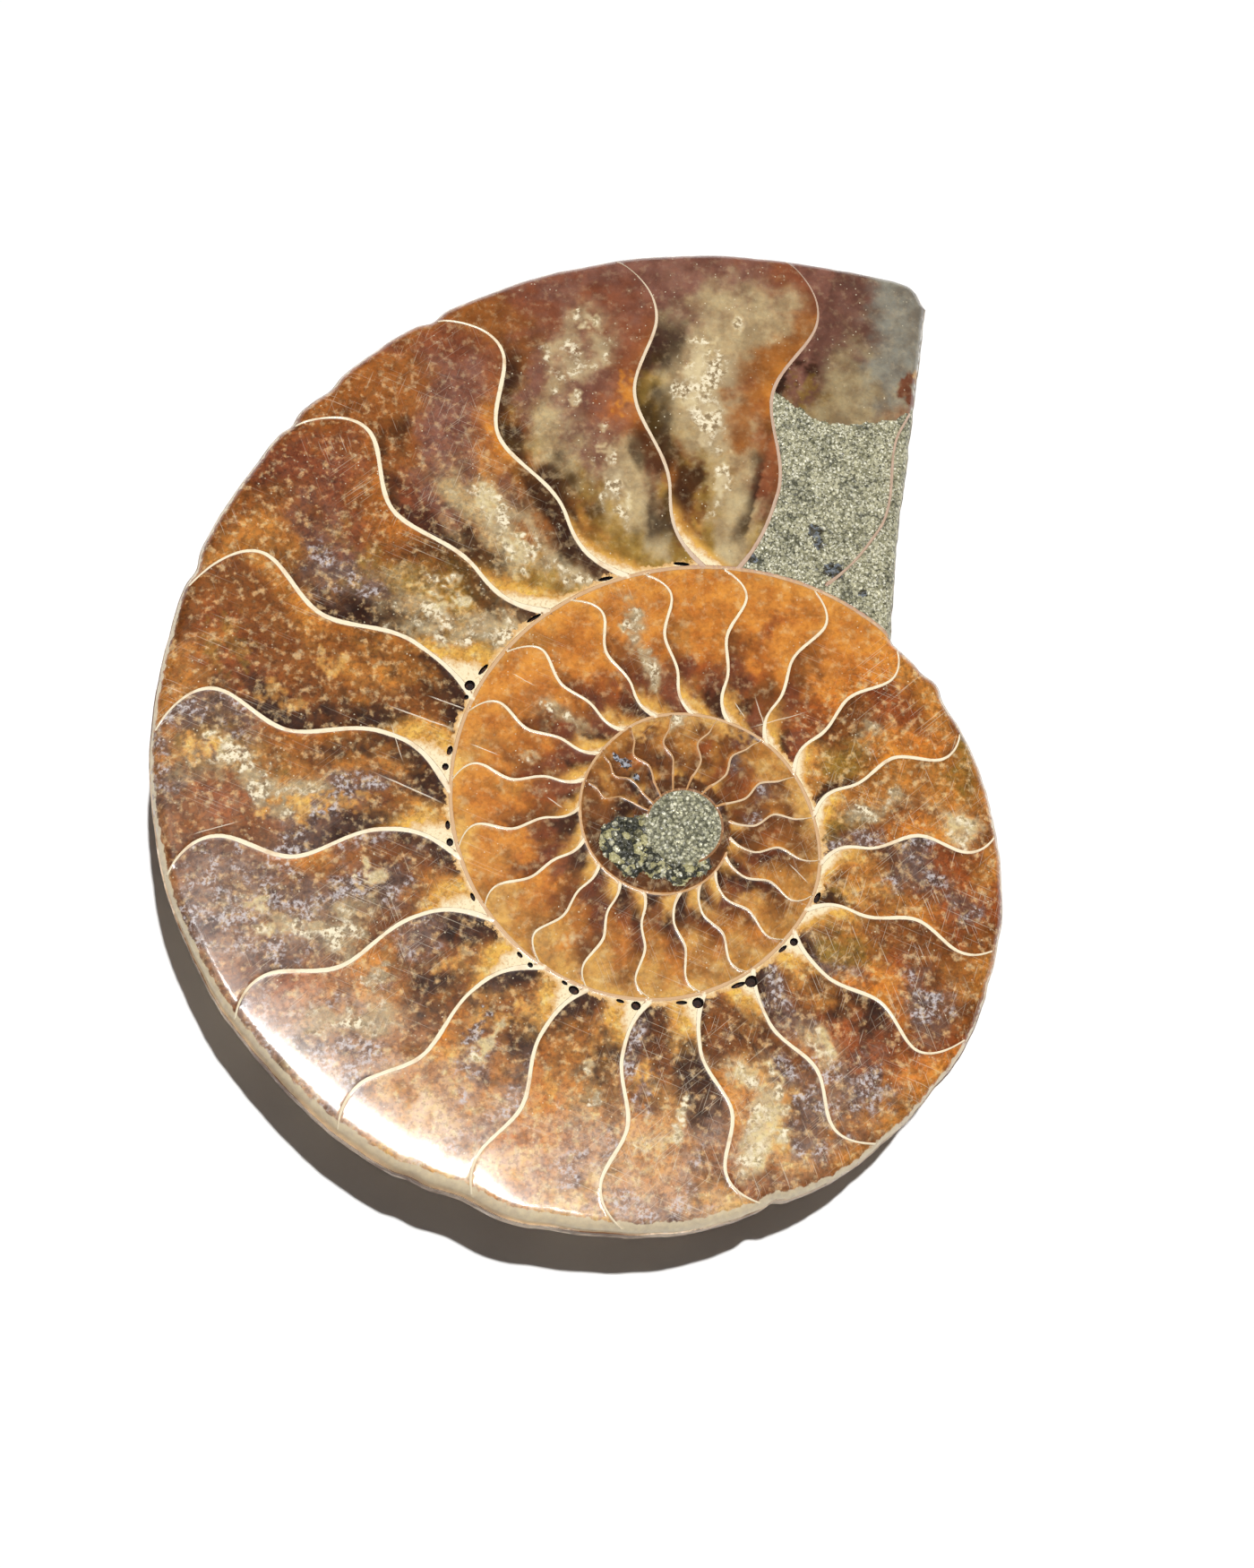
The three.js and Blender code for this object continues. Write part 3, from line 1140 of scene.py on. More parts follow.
def nearest(tree: KDTree, points: Array) -> tuple[Array, Array]:
    """Give the number of the tree's point nearest to each point, and how far it is."""
    found = [tree.find((x, y, 0)) for x, y in points]
    return np.array([f[1] for f in found]), np.array([f[2] for f in found])


def is_inside(points: Array, loop: Array) -> Array:
    """Tell which points lie inside a closed outline, looking only near it."""
    low, high = loop.min(0), loop.max(0)
    inside = np.zeros(len(points), bool)
    near = np.flatnonzero(((points > low) & (points < high)).all(1))
    x, y = points[near, 0], points[near, 1]
    count = np.zeros(len(near), int)
    after = np.roll(loop, -1, axis=0)
    for (ax, ay), (bx, by) in zip(loop, after):
        spans = (ay > y) != (by > y)
        rise = by - ay if by != ay else 1e-9
        count += spans & (x < ax + (y - ay) * (bx - ax) / rise)
    inside[near] = count % 2 == 1
    return inside


@dataclass
class EdgeDrop:
    """How the polished face falls away towards its rounded edge."""

    outline: Array
    rounding: float = 1.2
    dome_width: float = 6.5
    dome: float = 0.12
    worn_dome: float = 0.6
    worn_at: float = 226.0
    worn_span: float = 36.0

    def __post_init__(self) -> None:
        """Index the outline closely."""
        count = len(self.outline)
        at = np.linspace(0, count, count * 8, endpoint=False)
        self.tree = tree_of(walk(closed(self.outline), np.arange(count + 1), at))

    def gap(self, points: Array) -> Array:
        """Give the distance of each point from the rim."""
        return nearest(self.tree, points)[1]

    def height(self, points: Array) -> Array:
        """Give the height of the polished surface above its plane, which is never positive."""
        gap = self.gap(points)
        near = np.clip(self.rounding - gap, 0, self.rounding)
        edge = self.rounding - np.sqrt(self.rounding**2 - near**2)
        worn = bell(turn_of(points) % 360, self.worn_at, self.worn_span)
        fall = (self.dome + self.worn_dome * worn) * np.clip(1 - gap / self.dome_width, 0, 1) ** 2
        return -edge - fall


@dataclass
class NaturalBody:
    """The rim and the natural back, drawn ring by ring from the face's edge to the back's pole."""

    outline: Array
    growth: Array
    offset: Array
    rim_wear: float = 0.06
    rim_middle: float = 2.1
    rings: tuple[float, ...] = (
        0.985, 0.96, 0.92, 0.87, 0.81, 0.74, 0.67, 0.6, 0.52, 0.44, 0.39, 0.36,
        0.33, 0.3, 0.28, 0.25, 0.2, 0.155, 0.135, 0.12, 0.09, 0.05,
    )

    def depth(self, share: float) -> Array:
        """Give the depth of the back below the face on one ring, ribs and wear included."""
        radius = np.hypot(self.outline[:, 0], self.outline[:, 1]) * share
        natural = FLANK.natural(radius, self.growth, OUTLINE.lip)
        v = radius / COIL.radius(self.growth)
        swept = self.growth + FLANK.rib_sweep * (v - FLANK.crest) ** 2
        rib = 0.5 - 0.5 * np.cos(np.radians(360 / FLANK.rib_spacing) * swept)
        reach = smooth((v - 0.34) / 0.1) * smooth((1.0 - v) / 0.03)
        rough = FLANK.roughness * cloud(self.outline * share, 2.5, 31.0)
        natural = natural - FLANK.rib_depth * rib**2 * reach - np.abs(rough)
        return np.minimum(FLANK.thickness, natural)

    def stations(self, edge: Array) -> list[Array]:
        """List every ring of the body in order, starting with the face's edge."""
        outward = outward_of(self.outline)
        level = np.ones(len(self.outline))
        stations = [edge]
        for inset in (0.03, 0.0):
            down = FLANK.rounding - math.sqrt(FLANK.rounding**2 - (FLANK.rounding - inset) ** 2)
            stations.append(np.column_stack([self.outline - outward * inset, -down * level]))
        worn = self.rim_wear * cloud(self.outline, 1.4, 61.0)
        middle = self.outline + outward * worn[:, None]
        stations.append(np.column_stack([middle, -self.rim_middle * level]))
        rim = np.minimum(FLANK.rim_depth, self.depth(1.0))
        stations.append(np.column_stack([self.outline, -rim]))
        for share in self.rings:
            stations.append(np.column_stack([self.outline * share, -self.depth(share)]))
        return stations

    def build(self, edge: Array) -> bpy.types.Object:
        """Model the body by extruding its edge ring by ring.

        Args:
            edge: The face's edge, one row of x, y and z for each column.

        Returns:
            The open body as an object, in metres.
        """
        bpy.ops.mesh.primitive_circle_add(vertices=len(self.outline), radius=30 * MM)
        body = bpy.context.object
        body.name = "natural_body"
        bpy.ops.object.mode_set(mode="EDIT")
        mesh = bmesh.from_edit_mesh(body.data)
        column = mesh.verts.layers.int.new("column")
        mesh.verts.ensure_lookup_table()
        for i, vert in enumerate(mesh.verts):
            vert[column] = i
        bmesh.update_edit_mesh(body.data)
        move = np.array([*self.offset, FLANK.thickness])
        for number, station in enumerate(self.stations(edge)):
            if number:
                bpy.ops.mesh.extrude_region_move()
            mesh = bmesh.from_edit_mesh(body.data)
            column = mesh.verts.layers.int["column"]
            for vert in mesh.verts:
                if vert.select:
                    vert.co = (station[vert[column]] + move) * MM
            bmesh.update_edit_mesh(body.data)
        bpy.ops.mesh.extrude_region_move()
        bpy.ops.mesh.merge(type="CENTER")
        bpy.ops.object.mode_set(mode="OBJECT")
        body.data.attributes.remove(body.data.attributes["column"])
        places = np.array([tuple(vert.co) for vert in body.data.vertices])[:, :2] / MM - self.offset
        root, lip = COIL.point(np.array([360 + OUTLINE.root, OUTLINE.lip]), 1.0)
        sawn = np.array([root, OUTLINE.knee, lip])
        store(body.data, "cut", smooth((1.0 - np.abs(inside_loop(places, sawn))) / 0.4))
        crust = np.full(len(body.data.polygons), Ground.CRUST.value)
        body.data.polygons.foreach_set("material_index", crust)
        return body


def outward_of(loop: Array) -> Array:
    """Give the outward direction at each point of a loop that runs anticlockwise."""
    return rightward(np.roll(loop, -2, axis=0) - np.roll(loop, 2, axis=0))


Socket = bpy.types.NodeSocket


@dataclass(frozen=True)
class Mottle:
    """Soft patches of a colour: the size and detail of their lumps, and how far they show."""

    colour: Colour
    lump: float
    detail: float
    low: float
    high: float
    top: float = 1.0
    kind: str = "MIX"


class Bench:
    """A work bench on which one finish is wired up node by node."""

    def __init__(self, name: str) -> None:
        """Start a finish with its shader in place."""
        self.finish = bpy.data.materials.new(name)
        self.finish.use_nodes = True
        self.tree = self.finish.node_tree
        self.shader = self.tree.nodes["Principled BSDF"]
        self.place = self.add("ShaderNodeTexCoord").outputs["Object"]

    def add(self, kind: str, **settings: object) -> bpy.types.Node:
        """Put a node on the bench and set its settings."""
        node = self.tree.nodes.new(kind)
        for name, value in settings.items():
            setattr(node, name, value)
        return node

    def feed(self, socket: Socket, value: object) -> None:
        """Wire a value into a socket, or set it there."""
        if isinstance(value, bpy.types.NodeSocket):
            self.tree.links.new(value, socket)
        elif socket.type == "RGBA":
            socket.default_value = (*value, 1.0)
        else:
            socket.default_value = value

    def fill(self, node: bpy.types.Node, values: dict[str, object]) -> None:
        """Feed a node's sockets by their names."""
        for name, value in values.items():
            self.feed(node.inputs[name], value)

    def sum(self, kind: str, a: object, b: object = 0.0, c: object = 0.0) -> Socket:
        """Work out one step of arithmetic."""
        node = self.add("ShaderNodeMath", operation=kind)
        for socket, value in zip(node.inputs, (a, b, c)):
            self.feed(socket, value)
        return node.outputs[0]

    def times(self, a: object, b: object) -> Socket:
        """Multiply two values."""
        return self.sum("MULTIPLY", a, b)

    def scaled(self, value: Socket, scale: float, more: object) -> Socket:
        """Scale a value and add another to it."""
        return self.sum("MULTIPLY_ADD", value, scale, more)

    def read(self, name: str, colour: bool = False) -> Socket:
        """Read a value that is stored on the mesh."""
        node = self.add("ShaderNodeAttribute", attribute_name=name)
        return node.outputs["Color" if colour else "Fac"]

    def band(self, value: Socket, low: float, high: float, top: float = 1.0) -> Socket:
        """Turn a value into a soft step from 0 to a top between two limits."""
        start, end = (0.0, top) if low < high else (top, 0.0)
        node = self.add("ShaderNodeMapRange", interpolation_type="SMOOTHSTEP")
        limits = {"From Min": min(low, high), "From Max": max(low, high)}
        self.fill(node, {"Value": value, **limits, "To Min": start, "To Max": end})
        return node.outputs["Result"]

    def turned(self, angle: float, scale: Place) -> Socket:
        """Give the place turned about the face's normal and then stretched."""
        turn = self.add("ShaderNodeMapping")
        self.fill(turn, {"Vector": self.place, "Rotation": (0, 0, math.radians(angle))})
        stretch = self.add("ShaderNodeMapping")
        self.fill(stretch, {"Vector": turn.outputs[0], "Scale": scale})
        return stretch.outputs[0]

    def grain(self, lump: float, detail: float = 3.0, place: Socket | None = None) -> Socket:
        """Give soft noise whose lumps are a number of millimetres across."""
        node = self.add("ShaderNodeTexNoise", noise_dimensions="3D")
        scale = 1000.0 / lump if place is None else lump
        values = {"Vector": place or self.place, "Scale": scale, "Detail": detail}
        self.fill(node, {**values, "Roughness": 0.6})
        return node.outputs["Fac"]

    def cells(self, size: float) -> tuple[Socket, Socket]:
        """Give crystal cells some millimetres across: the distance in each, and its number."""
        node = self.add("ShaderNodeTexVoronoi", feature="F1")
        self.fill(node, {"Vector": self.place, "Scale": 1000.0 / size, "Randomness": 1.0})
        split = self.add("ShaderNodeSeparateColor")
        self.feed(split.inputs[0], node.outputs["Color"])
        return node.outputs["Distance"], split.outputs[0]

    def lay(self, share: object, under: object, over: object, kind: str = "MIX") -> Socket:
        """Lay one colour over another."""
        node = self.add("ShaderNodeMix", data_type="RGBA", blend_type=kind)
        node.clamp_factor = True
        for socket, value in zip((node.inputs["Factor"], *node.inputs[6:8]), (share, under, over)):
            self.feed(socket, value)
        return node.outputs[2]

    def mottled(self, tone: object, patches: tuple[Mottle, ...], where: object = 1.0) -> Socket:
        """Lay soft patches over a tone one after another, as far as a share allows."""
        for m in patches:
            share = self.band(self.grain(m.lump, m.detail), m.low, m.high, m.top)
            tone = self.lay(self.times(share, where), tone, m.colour, m.kind)
        return tone

    def bump(self, height: Socket, strength: float, distance: float) -> None:
        """Raise the surface in the shading by a height in millimetres."""
        node = self.add("ShaderNodeBump")
        self.fill(node, {"Strength": strength, "Distance": distance * MM, "Height": height})
        self.feed(self.shader.inputs["Normal"], node.outputs[0])

    def polish(self, tone: Socket, rough: Socket, coat: float, coat_rough: float, ior: float) -> None:
        """Set the colour and the shine of the finish."""
        self.fill(self.shader, {"Base Color": tone, "Roughness": rough})
        self.shader.inputs["Coat Weight"].default_value = coat
        self.shader.inputs["Coat Roughness"].default_value = coat_rough
        self.shader.inputs["IOR"].default_value = ior

    def scratch(self, x: float, y: float, to_x: float, to_y: float, width: float) -> Socket:
        """Give one straight scratch between two places, in millimetres from the coil's middle."""
        start = Vector((x, y, 0.0)) + Vector((*PolishedHalf.offset(), 0.0))
        path = Vector((to_x - x, to_y - y, 0.0))
        along = path.normalized()
        from_start = self.add("ShaderNodeVectorMath", operation="SUBTRACT")
        self.feed(from_start.inputs[0], self.place)
        self.feed(from_start.inputs[1], start * MM)
        reach = []
        for way in (along, Vector((-along.y, along.x, 0.0))):
            dot = self.add("ShaderNodeVectorMath", operation="DOT_PRODUCT")
            self.feed(dot.inputs[0], from_start.outputs[0])
            self.feed(dot.inputs[1], way / MM)
            reach.append(dot.outputs["Value"])
        half = path.length / 2
        from_middle = self.sum("ABSOLUTE", self.sum("SUBTRACT", reach[0], half))
        ends = self.band(from_middle, half, half * 0.4)
        wander = self.scaled(self.grain(1.6, 2.0), 0.16, -0.08)
        off = self.sum("ABSOLUTE", self.sum("ADD", reach[1], wander))
        return self.times(ends, self.band(off, width, width * 0.3))

    def scratches(self, angle: float, long: float, seed: float, rare: float) -> Socket:
        """Give thin straight scratches that all run one way, in patches."""
        place = self.turned(angle, (1000 / long, 1000 / 0.09, 1.0))
        shift = self.add("ShaderNodeVectorMath", operation="ADD")
        self.feed(shift.inputs[0], place)
        self.feed(shift.inputs[1], (seed, seed * 2.7, 0.0))
        streak = self.band(self.grain(1.0, 0.0, shift.outputs[0]), rare, rare + 0.05)
        return self.times(streak, self.band(self.grain(9.0 + seed, 1.0), 0.45, 0.62))


def hue(red: float, green: float, blue: float) -> Colour:
    """Turn a display colour of 0 to 255 into the light it stands for."""
    return tuple(linear((red / 255, green / 255, blue / 255)))


@dataclass(frozen=True)
class Calcite:
    """The polished calcite of the chambers, clear over cloudy crystal, with crust by the wall."""

    bright: Colour = hue(252, 238, 204)
    mist: Colour = hue(186, 172, 138)
    # The colour of the painted sheen in silvery flecks.
    silver_sheen: Colour = hue(218, 209, 208)
    gap: Colour = hue(96, 72, 44)
    cream: Colour = hue(252, 234, 192)
    bone: Colour = hue(228, 180, 116)
    rim: Colour = hue(196, 178, 156)
    scratched: Colour = hue(250, 232, 204)
    lumps: tuple[Colour, Colour] = (hue(188, 172, 162), hue(255, 252, 246))
    hollows: tuple[Colour, Colour] = (hue(38, 34, 36), hue(176, 182, 192))
    roughness: float = 0.2
    haze: tuple[Mottle, ...] = (
        Mottle(hue(104, 72, 52), 3.1, 6.0, 0.54, 0.66, 0.42, "MULTIPLY"),
        Mottle(hue(244, 214, 166), 0.7, 5.0, 0.5, 0.7, 0.45, "SCREEN"),
        Mottle(hue(255, 222, 170), 0.36, 4.0, 0.34, 0.66, 0.45, "OVERLAY"),
        Mottle(hue(120, 92, 74), 0.3, 5.0, 0.52, 0.4, 0.34, "MULTIPLY"),
    )
    stains: tuple[Mottle, ...] = (Mottle(hue(196, 138, 78), 0.22, 2.0, 0.5, 0.7, 0.45),)
    scratches: tuple[tuple[float, float, float, float], ...] = (
        (24, 6.0, 1.0, 0.72), (-38, 4.5, 4.0, 0.72), (71, 3.0, 8.0, 0.73), (-70, 2.6, 12.0, 0.73),
    )
    deep_scratches: tuple[tuple[float, float, float, float, float], ...] = (
        (-21.1, 9.0, -15.5, 6.9, 0.07), (-18.0, 9.7, -14.7, 8.5, 0.06),
        (-21.6, 3.7, -16.5, 1.3, 0.07), (-34.8, -0.9, -31.2, 0.1, 0.05),
        (-20.6, 7.7, -19.6, 4.4, 0.05), (5.9, 7.2, 10.7, 8.6, 0.05),
        (6.5, 9.9, 7.4, 6.4, 0.06), (4.9, 9.4, 5.8, 7.9, 0.05),
        (-14.9, 6.0, -12.5, 5.0, 0.05), (-9.3, 1.9, -8.0, 1.0, 0.05),
        (-11.7, 11.5, -9.8, 10.4, 0.04), (8.3, -3.1, 9.9, -4.8, 0.05),
    )

    def crystal(self, b: Bench, busy: Socket) -> Socket:
        """Give the clouded stone of the chambers with its silvery flecks of painted sheen."""
        lump = b.band(b.grain(1.9, 5.0), 0.32, 0.68)
        tone = b.lay(0.8, b.read("tone", True), b.lay(lump, *self.lumps), "MULTIPLY")
        tone = b.mottled(tone, self.haze, busy)
        # Painted sheen: silvery flecks where the violet patches catch the light.
        fleck = b.band(b.grain(0.3, 5.0), 0.46, 0.62, 0.75)
        silver_sheen = b.times(fleck, b.band(b.read("silver_sheen"), 0.3, 0.9))
        silver_sheen = b.times(silver_sheen, b.band(b.grain(1.7, 5.0), 0.46, 0.58))
        return b.lay(silver_sheen, tone, self.silver_sheen)

    def dusted(self, b: Bench, tone: Socket) -> Socket:
        """Lay fine pale specks over a tone, in patches."""
        distance, number = b.cells(0.24)
        speck = b.times(b.band(distance, 0.3, 0.16), b.band(number, 0.9, 0.94))
        speck = b.times(speck, b.band(b.grain(5.0, 3.0), 0.4, 0.6))
        return b.lay(b.times(speck, 0.6), tone, self.bright)

    def marks(self, b: Bench, busy: Socket) -> Socket:
        """Give every scratch: the fine ones in patches, then the deep ones."""
        marks = 0.0
        for scratches in self.scratches:
            marks = b.sum("MAXIMUM", marks, b.scratches(*scratches))
        marks = b.times(marks, b.band(busy, 0.3, 0.8, 0.5))
        for scratch in self.deep_scratches:
            marks = b.sum("MAXIMUM", marks, b.scratch(*scratch))
        return marks

    def crusted(self, b: Bench, tone: Socket) -> Socket:
        """Lay the crust by the wall and the worn rim over a tone; the rim is the shell's own pale
        edge, partly a painted highlight where it widens at the lower left.
        """
        ragged = b.scaled(b.grain(0.55, 5.0), 1.5, -0.75)
        reach = b.sum("ADD", b.read("shell"), ragged)
        shell = b.lay(b.band(reach, 0.0, 0.7), self.bone, self.cream)
        tone = b.lay(b.band(reach, -0.08, 0.1), tone, b.mottled(shell, self.stains))
        # The rim band: the shell's own pale edge, partly a painted highlight where it widens at the
        # lower left.
        rim = b.scaled(b.grain(0.8, 5.0), 0.8, b.sum("SUBTRACT", b.read("rim"), 0.4))
        worn = b.lay(b.grain(0.5, 4.0), self.rim, self.cream)
        return b.lay(b.band(rim, -0.04, 0.06, 0.9), tone, worn)

    def make(self) -> bpy.types.Material:
        """Wire up the finish."""
        b = Bench("polished_calcite")
        busy = b.read("busy")
        druse = b.read("druse")
        tone = b.lay(b.band(druse, 0.3, 1.0, 0.35), self.crystal(b, busy), self.mist)
        loose = b.band(b.scaled(b.grain(1.5, 8.0), 3.0, b.times(druse, 0.8)), 2.0, 2.5)
        crumb = b.grain(0.42, 5.0)
        tone = b.lay(b.times(loose, b.band(crumb, 0.5, 0.38, 0.6)), tone, self.gap)
        tone = b.lay(b.times(loose, b.band(crumb, 0.45, 0.56, 0.95)), tone, self.bright)
        marks = self.marks(b, busy)
        tone = b.lay(b.times(marks, 0.65), self.dusted(b, tone), self.scratched)
        hollow = b.scaled(b.grain(0.4, 5.0), 2.4, b.sum("SUBTRACT", b.read("hollow"), 1.4))
        metal = b.lay(b.band(b.grain(0.25, 3.0), 0.42, 0.6), *self.hollows)
        tone = b.lay(b.band(hollow, 0.0, 0.15, 0.9), self.crusted(b, tone), metal)
        rough = b.scaled(b.grain(0.8, 3.0), 0.22, self.roughness)
        b.polish(tone, b.sum("ADD", rough, b.times(loose, 0.15)), 0.6, 0.11, 1.5)
        relief = b.scaled(marks, -0.02, b.times(loose, b.times(crumb, 0.09)))
        b.bump(b.sum("ADD", relief, b.times(b.grain(0.9, 3.0), 0.012)), 0.5, 1.0)
        return b.finish


@dataclass(frozen=True)
class ShellLine:
    """The cream shell of the septa and the wall, with a thin brown line along each side."""

    cream: Colour = hue(254, 238, 204)
    tan: Colour = hue(206, 156, 106)
    pink: Colour = hue(188, 150, 132)
    line: Colour = hue(120, 78, 48)

    def make(self) -> bpy.types.Material:
        """Wire up the finish."""
        b = Bench("shell_line")
        small = b.band(b.read("size"), 0.34, 0.16)
        aged = b.sum("MAXIMUM", small, b.times(b.read("coiled"), 0.8))
        tone = b.lay(aged, self.cream, self.tan)
        tone = b.mottled(tone, (Mottle(self.tan, 1.3, 4.0, 0.5, 0.75, 0.5),))
        tone = b.lay(b.times(b.read("pink"), 0.75), tone, self.pink)
        wander = b.scaled(b.grain(0.3, 3.0), 0.5, -0.25)
        edge = b.sum("ADD", b.sum("ABSOLUTE", b.read("lateral")), wander)
        tone = b.lay(b.band(edge, 0.7, 1.05, 0.75), tone, self.line)
        b.polish(tone, b.scaled(b.grain(0.4), 0.2, 0.28), 0.4, 0.08, 1.5)
        b.bump(b.times(b.grain(0.25, 3.0), 0.02), 0.5, 1.0)
        return b.finish


@dataclass(frozen=True)
class PorePit:
    """The dark hollows in the crust."""

    deep: Colour = hue(38, 22, 14)
    lip: Colour = hue(104, 62, 36)

    def make(self) -> bpy.types.Material:
        """Wire up the finish."""
        b = Bench("pore_pit")
        tone = b.lay(b.band(b.grain(0.3), 0.5, 0.8), self.deep, self.lip)
        b.polish(tone, b.scaled(b.grain(0.2), 0.3, 0.5), 0.1, 0.2, 1.5)
        b.bump(b.grain(0.15), 0.4, 0.05)
        return b.finish


@dataclass(frozen=True)
class PyriteGrains:
    """Granular pyrite: pale metallic grains with dark gaps and grey-green matrix."""

    grain: float = 0.27
    matrix: Colour = hue(146, 142, 112)
    pale: Colour = hue(214, 208, 172)
    bright: Colour = hue(250, 246, 222)
    gap: Colour = hue(40, 40, 32)
    moss: Colour = hue(84, 86, 72)
    disc: Colour = hue(232, 230, 190)
    lump: Colour = hue(206, 196, 138)
    hollows: tuple[Colour, Colour] = (hue(50, 44, 32), hue(120, 128, 138))

    def grains(self, b: Bench, number: Socket, edge: Socket, small: Socket) -> Socket:
        """Give the pale grains with the gaps between them and the bright flecks."""
        tone = b.lay(b.band(number, 0.2, 0.95), self.matrix, self.pale)
        tone = b.lay(b.band(small, 0.7, 0.95, 0.7), tone, self.bright)
        coarse = b.band(b.grain(1.9, 4.0), 0.48, 0.62)
        tone = b.lay(b.times(edge, b.scaled(coarse, 0.45, 0.3)), tone, self.gap)
        tone = b.lay(b.band(small, 0.26, 0.1, 0.6), tone, self.gap)
        tone = b.lay(b.times(coarse, 0.3), tone, self.moss)
        distance, pick = b.cells(0.3)
        fleck = b.times(b.band(distance, 0.4, 0.25), b.band(pick, 0.72, 0.76, 0.85))
        return b.lay(fleck, tone, self.bright)

    def centred(self, b: Bench, tone: Socket) -> Socket:
        """Lay the round disc and the lumpy crescent of the core over a tone."""
        disc, core = b.read("disc"), b.read("core")
        tone = b.lay(b.times(disc, 0.2), tone, self.disc)
        distance, _ = b.cells(0.3)
        tone = b.lay(b.times(disc, b.band(distance, 0.42, 0.6, 0.6)), tone, self.gap)
        distance, pick = b.cells(0.46)
        tone = b.lay(b.times(core, b.band(distance, 0.42, 0.56, 0.9)), tone, self.gap)
        tone = b.lay(b.times(core, b.band(pick, 0.62, 0.66, 0.6)), tone, self.lump)
        return b.mottled(tone, (Mottle(self.gap, 0.9, 4.0, 0.52, 0.6, 0.85),), core)

    def make(self) -> bpy.types.Material:
        """Wire up the finish."""
        b = Bench("pyrite_grains")
        distance, number = b.cells(self.grain)
        edge = b.band(distance, 0.5, 0.78)
        _, small = b.cells(0.12)
        hollow = b.scaled(b.grain(0.5, 5.0), 2.4, b.sum("SUBTRACT", b.read("hollow"), 1.35))
        deep = b.lay(b.band(b.grain(0.4, 3.0), 0.46, 0.6), *self.hollows)
        tone = b.lay(b.band(hollow, 0.0, 0.2, 0.9), self.grains(b, number, edge, small), deep)
        b.feed(b.shader.inputs["Metallic"], b.band(number, 0.6, 0.85, 0.4))
        b.polish(self.centred(b, tone), b.scaled(small, 0.3, 0.28), 0.15, 0.1, 1.6)
        b.bump(b.scaled(number, 0.05, b.times(edge, -0.05)), 0.8, 1.0)
        return b.finish


@dataclass(frozen=True)
class NaturalShell:
    """The weathered shell of the rim and the back, tan and brown with traces of pearl."""

    tan: Colour = hue(222, 195, 165)
    stone: Colour = hue(116, 108, 90)
    wear: tuple[Mottle, ...] = (
        Mottle(hue(118, 82, 54), 6.0, 6.0, 0.4, 0.62),
        Mottle(hue(247, 228, 206), 2.2, 5.0, 0.52, 0.66, 0.8),
        Mottle(hue(84, 56, 38), 0.5, 4.0, 0.52, 0.7, 0.55),
    )
    sawing: tuple[Mottle, ...] = (
        Mottle(hue(166, 158, 136), 2.6, 5.0, 0.4, 0.6),
        Mottle(hue(206, 198, 168), 0.3, 3.0, 0.52, 0.66, 0.6),
        Mottle(hue(66, 60, 48), 0.4, 3.0, 0.44, 0.36, 0.6),
    )

    def make(self) -> bpy.types.Material:
        """Wire up the finish."""
        b = Bench("natural_shell")
        sawn = b.band(b.read("cut"), 0.3, 0.7)
        tone = b.lay(sawn, b.mottled(self.tan, self.wear), b.mottled(self.stone, self.sawing))
        b.polish(tone, b.scaled(b.grain(1.5, 4.0), 0.35, 0.38), 0.08, 0.3, 1.5)
        b.bump(b.scaled(b.grain(0.7, 6.0), 0.22, b.times(b.grain(3.0, 3.0), 0.3)), 0.7, 1.0)
        return b.finish


@dataclass
class PolishedHalf:
    """The whole stone: the polished face and the natural body, joined into one closed piece."""

    name: str = "polished_half"
    edge_inset: float = 0.12
    crease: float = 38.0

    def __post_init__(self) -> None:
        """Make the finishes, in the order of the grounds."""
        kinds = (Calcite(), ShellLine(), PorePit(), PyriteGrains(), NaturalShell())
        self.finishes = [kind.make() for kind in kinds]

    @staticmethod
    def offset() -> Array:
        """Give the move from the coil's middle to the middle of the CAD box, in millimetres."""
        growth = np.linspace(OUTLINE.lip, 360 + OUTLINE.root, 68)
        rim = ring(Coil(swellings=COIL.swellings[:4]).radius(growth), growth)
        return -(rim.min(0) + rim.max(0)) / 2

    def build(self) -> bpy.types.Object:
        """Make both parts, join them and dress the piece."""
        offset = self.offset()
        outline, growth = OUTLINE.loop()
        drop = EdgeDrop(outline)
        outward = outward_of(outline)
        rim = outline - outward * self.edge_inset
        edge = np.column_stack([rim, drop.height(rim)])
        maker = FaceMaker(PolishedFace(), offset)
        rings = [outline - outward * gap for gap in maker.edge_rings]
        face = maker.build(rim, rings, drop)
        body = NaturalBody(outline, growth, offset).build(edge)
        bpy.ops.object.select_all(action="DESELECT")
        for part in (face, body):
            self.dress(part)
            part.select_set(True)
        bpy.context.view_layer.objects.active = face
        bpy.ops.object.join()
        face.name = self.name
        face.data.name = self.name
        bpy.ops.object.mode_set(mode="EDIT")
        bpy.ops.mesh.select_all(action="SELECT")
        bpy.ops.mesh.remove_doubles(threshold=2e-6)
        bpy.ops.mesh.normals_make_consistent(inside=False)
        bpy.ops.object.mode_set(mode="OBJECT")
        bpy.ops.object.shade_smooth_by_angle(angle=math.radians(self.crease))
        return face

    def dress(self, piece: bpy.types.Object) -> None:
        """Give a part its finishes, in the order of the grounds."""
        for finish in self.finishes:
            piece.data.materials.append(finish)


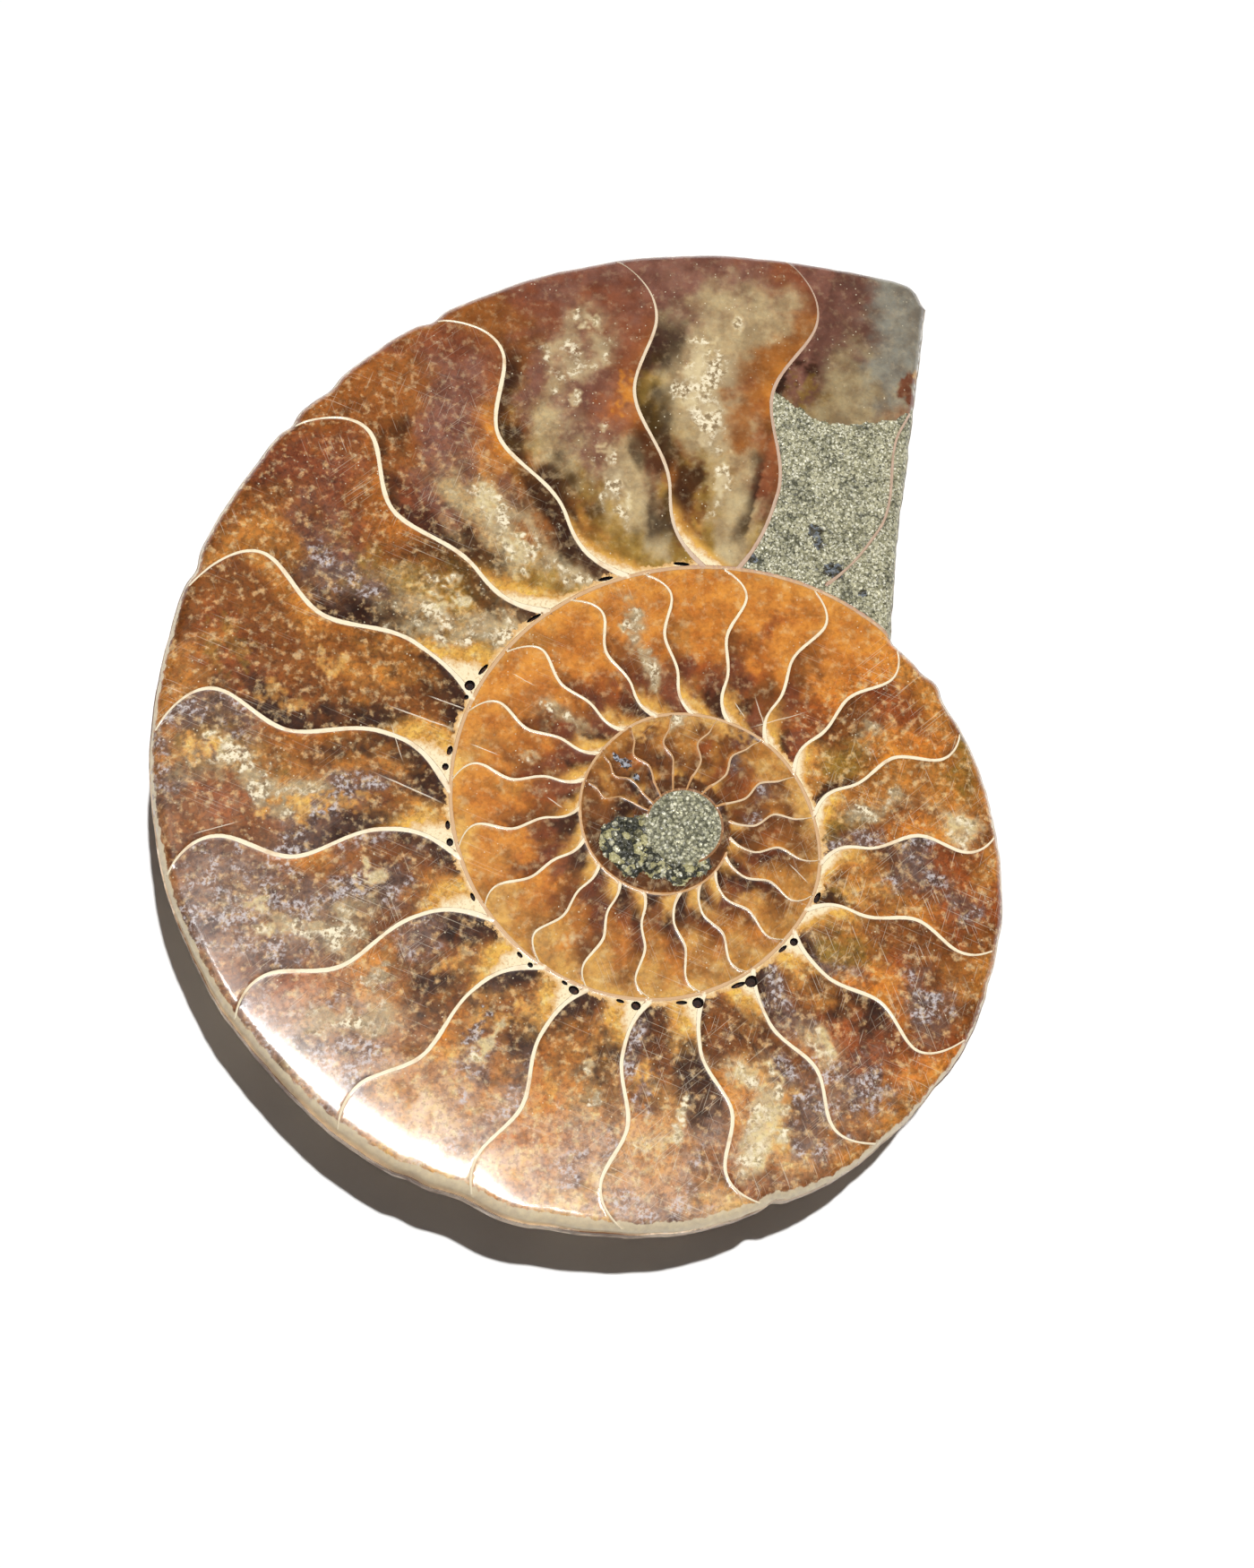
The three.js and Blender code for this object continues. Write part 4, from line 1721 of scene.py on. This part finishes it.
@dataclass
class Studio:
    """The camera, the lamps and the pale floor."""

    coil_to_camera: Place = (-20.95, -43.24, 151.94)
    right: Place = (0.9939, -0.0321, 0.1057)
    up: Place = (0.0, 0.9569, 0.2904)
    lamp_run: Place = (0.81, -0.58, 0.0)
    toward_sun: Place = (0.105, 0.24, 1.0)
    toward_band: Place = (-0.205, -0.13, 0.97)
    lens: float = 50.0
    floor_half: float = 1.5

    def camera(self) -> bpy.types.Object:
        """Stand the camera over the face."""
        data = bpy.data.cameras.new("camera")
        data.lens = self.lens
        data.sensor_width = 36.0
        data.clip_start = 0.01
        camera = bpy.data.objects.new("camera", data)
        bpy.context.scene.collection.objects.link(camera)
        right = Vector(self.right).normalized()
        back = right.cross(Vector(self.up)).normalized()
        up = back.cross(right)
        turn = camera.matrix_world.to_3x3()
        turn.col[0], turn.col[1], turn.col[2] = right, up, back
        coil = Vector((*PolishedHalf.offset(), FLANK.thickness))
        camera.matrix_world = turn.to_4x4()
        camera.location = (coil + Vector(self.coil_to_camera)) * MM
        bpy.context.scene.camera = camera
        return camera

    def floor(self) -> bpy.types.Object:
        """Lay a pale floor with the faintest unevenness."""
        bpy.ops.object.select_all(action="DESELECT")
        bpy.ops.mesh.primitive_plane_add(size=2 * self.floor_half)
        floor = bpy.context.object
        floor.name = "floor"
        b = Bench("pale_board")
        tone = b.lay(b.grain(60.0), hue(246, 246, 246), hue(250, 250, 249))
        b.fill(b.shader, {"Base Color": tone, "Roughness": b.scaled(b.grain(4.0), 0.1, 0.85)})
        b.bump(b.grain(0.6), 0.05, 0.05)
        floor.data.materials.append(b.finish)
        return floor

    def band(self, far: float, size: tuple[float, float], watts: float) -> None:
        """Hang a long soft lamp that is seen only as a shine, facing the stone."""
        data = bpy.data.lights.new("band_light", "AREA")
        data.shape = "RECTANGLE"
        data.size, data.size_y = size
        data.energy = watts
        lamp = bpy.data.objects.new("band_light", data)
        aim = Vector(self.toward_band).normalized()
        lamp.location = aim * far
        across = aim.cross(Vector(self.lamp_run)).normalized()
        turn = lamp.matrix_world.to_3x3()
        turn.col[0], turn.col[1], turn.col[2] = across.cross(aim), across, aim
        lamp.rotation_euler = turn.to_euler()
        lamp.visible_diffuse = False
        bpy.context.scene.collection.objects.link(lamp)

    def sun(self, strength: float, spread: float) -> None:
        """Hang a distant key lamp that throws the defined shadow."""
        data = bpy.data.lights.new("key_light", "SUN")
        data.energy = strength
        data.angle = math.radians(spread)
        lamp = bpy.data.objects.new("key_light", data)
        lamp.visible_glossy = False
        lamp.rotation_euler = Vector(self.toward_sun).to_track_quat("Z", "Y").to_euler()
        bpy.context.scene.collection.objects.link(lamp)

    def light(self) -> None:
        """Hang the lamps and set the room's dim glow."""
        self.sun(strength=3.5, spread=1.6)
        self.band(far=0.9, size=(0.42, 0.1), watts=5.4)
        world = bpy.data.worlds.new("room")
        world.use_nodes = True
        glow = world.node_tree.nodes["Background"]
        glow.inputs["Color"].default_value = (1.0, 1.0, 1.0, 1.0)
        glow.inputs["Strength"].default_value = 0.045
        bpy.context.scene.world = world
        bpy.context.scene.view_settings.view_transform = "Standard"


def main() -> None:
    """Build the stone in its studio and report each step."""
    studio = Studio()
    studio.camera()
    piece = PolishedHalf().build()
    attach(piece, "root")
    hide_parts(NODE)
    LOG.info("%s: %d facets", piece.name, len(piece.data.polygons))
    studio.floor()
    studio.light()
    bpy.context.view_layer.update()
    LOG.info("size written")


if __name__ == "__main__":
    logging.basicConfig(level=logging.INFO, format="%(name)s: %(message)s")
    main()
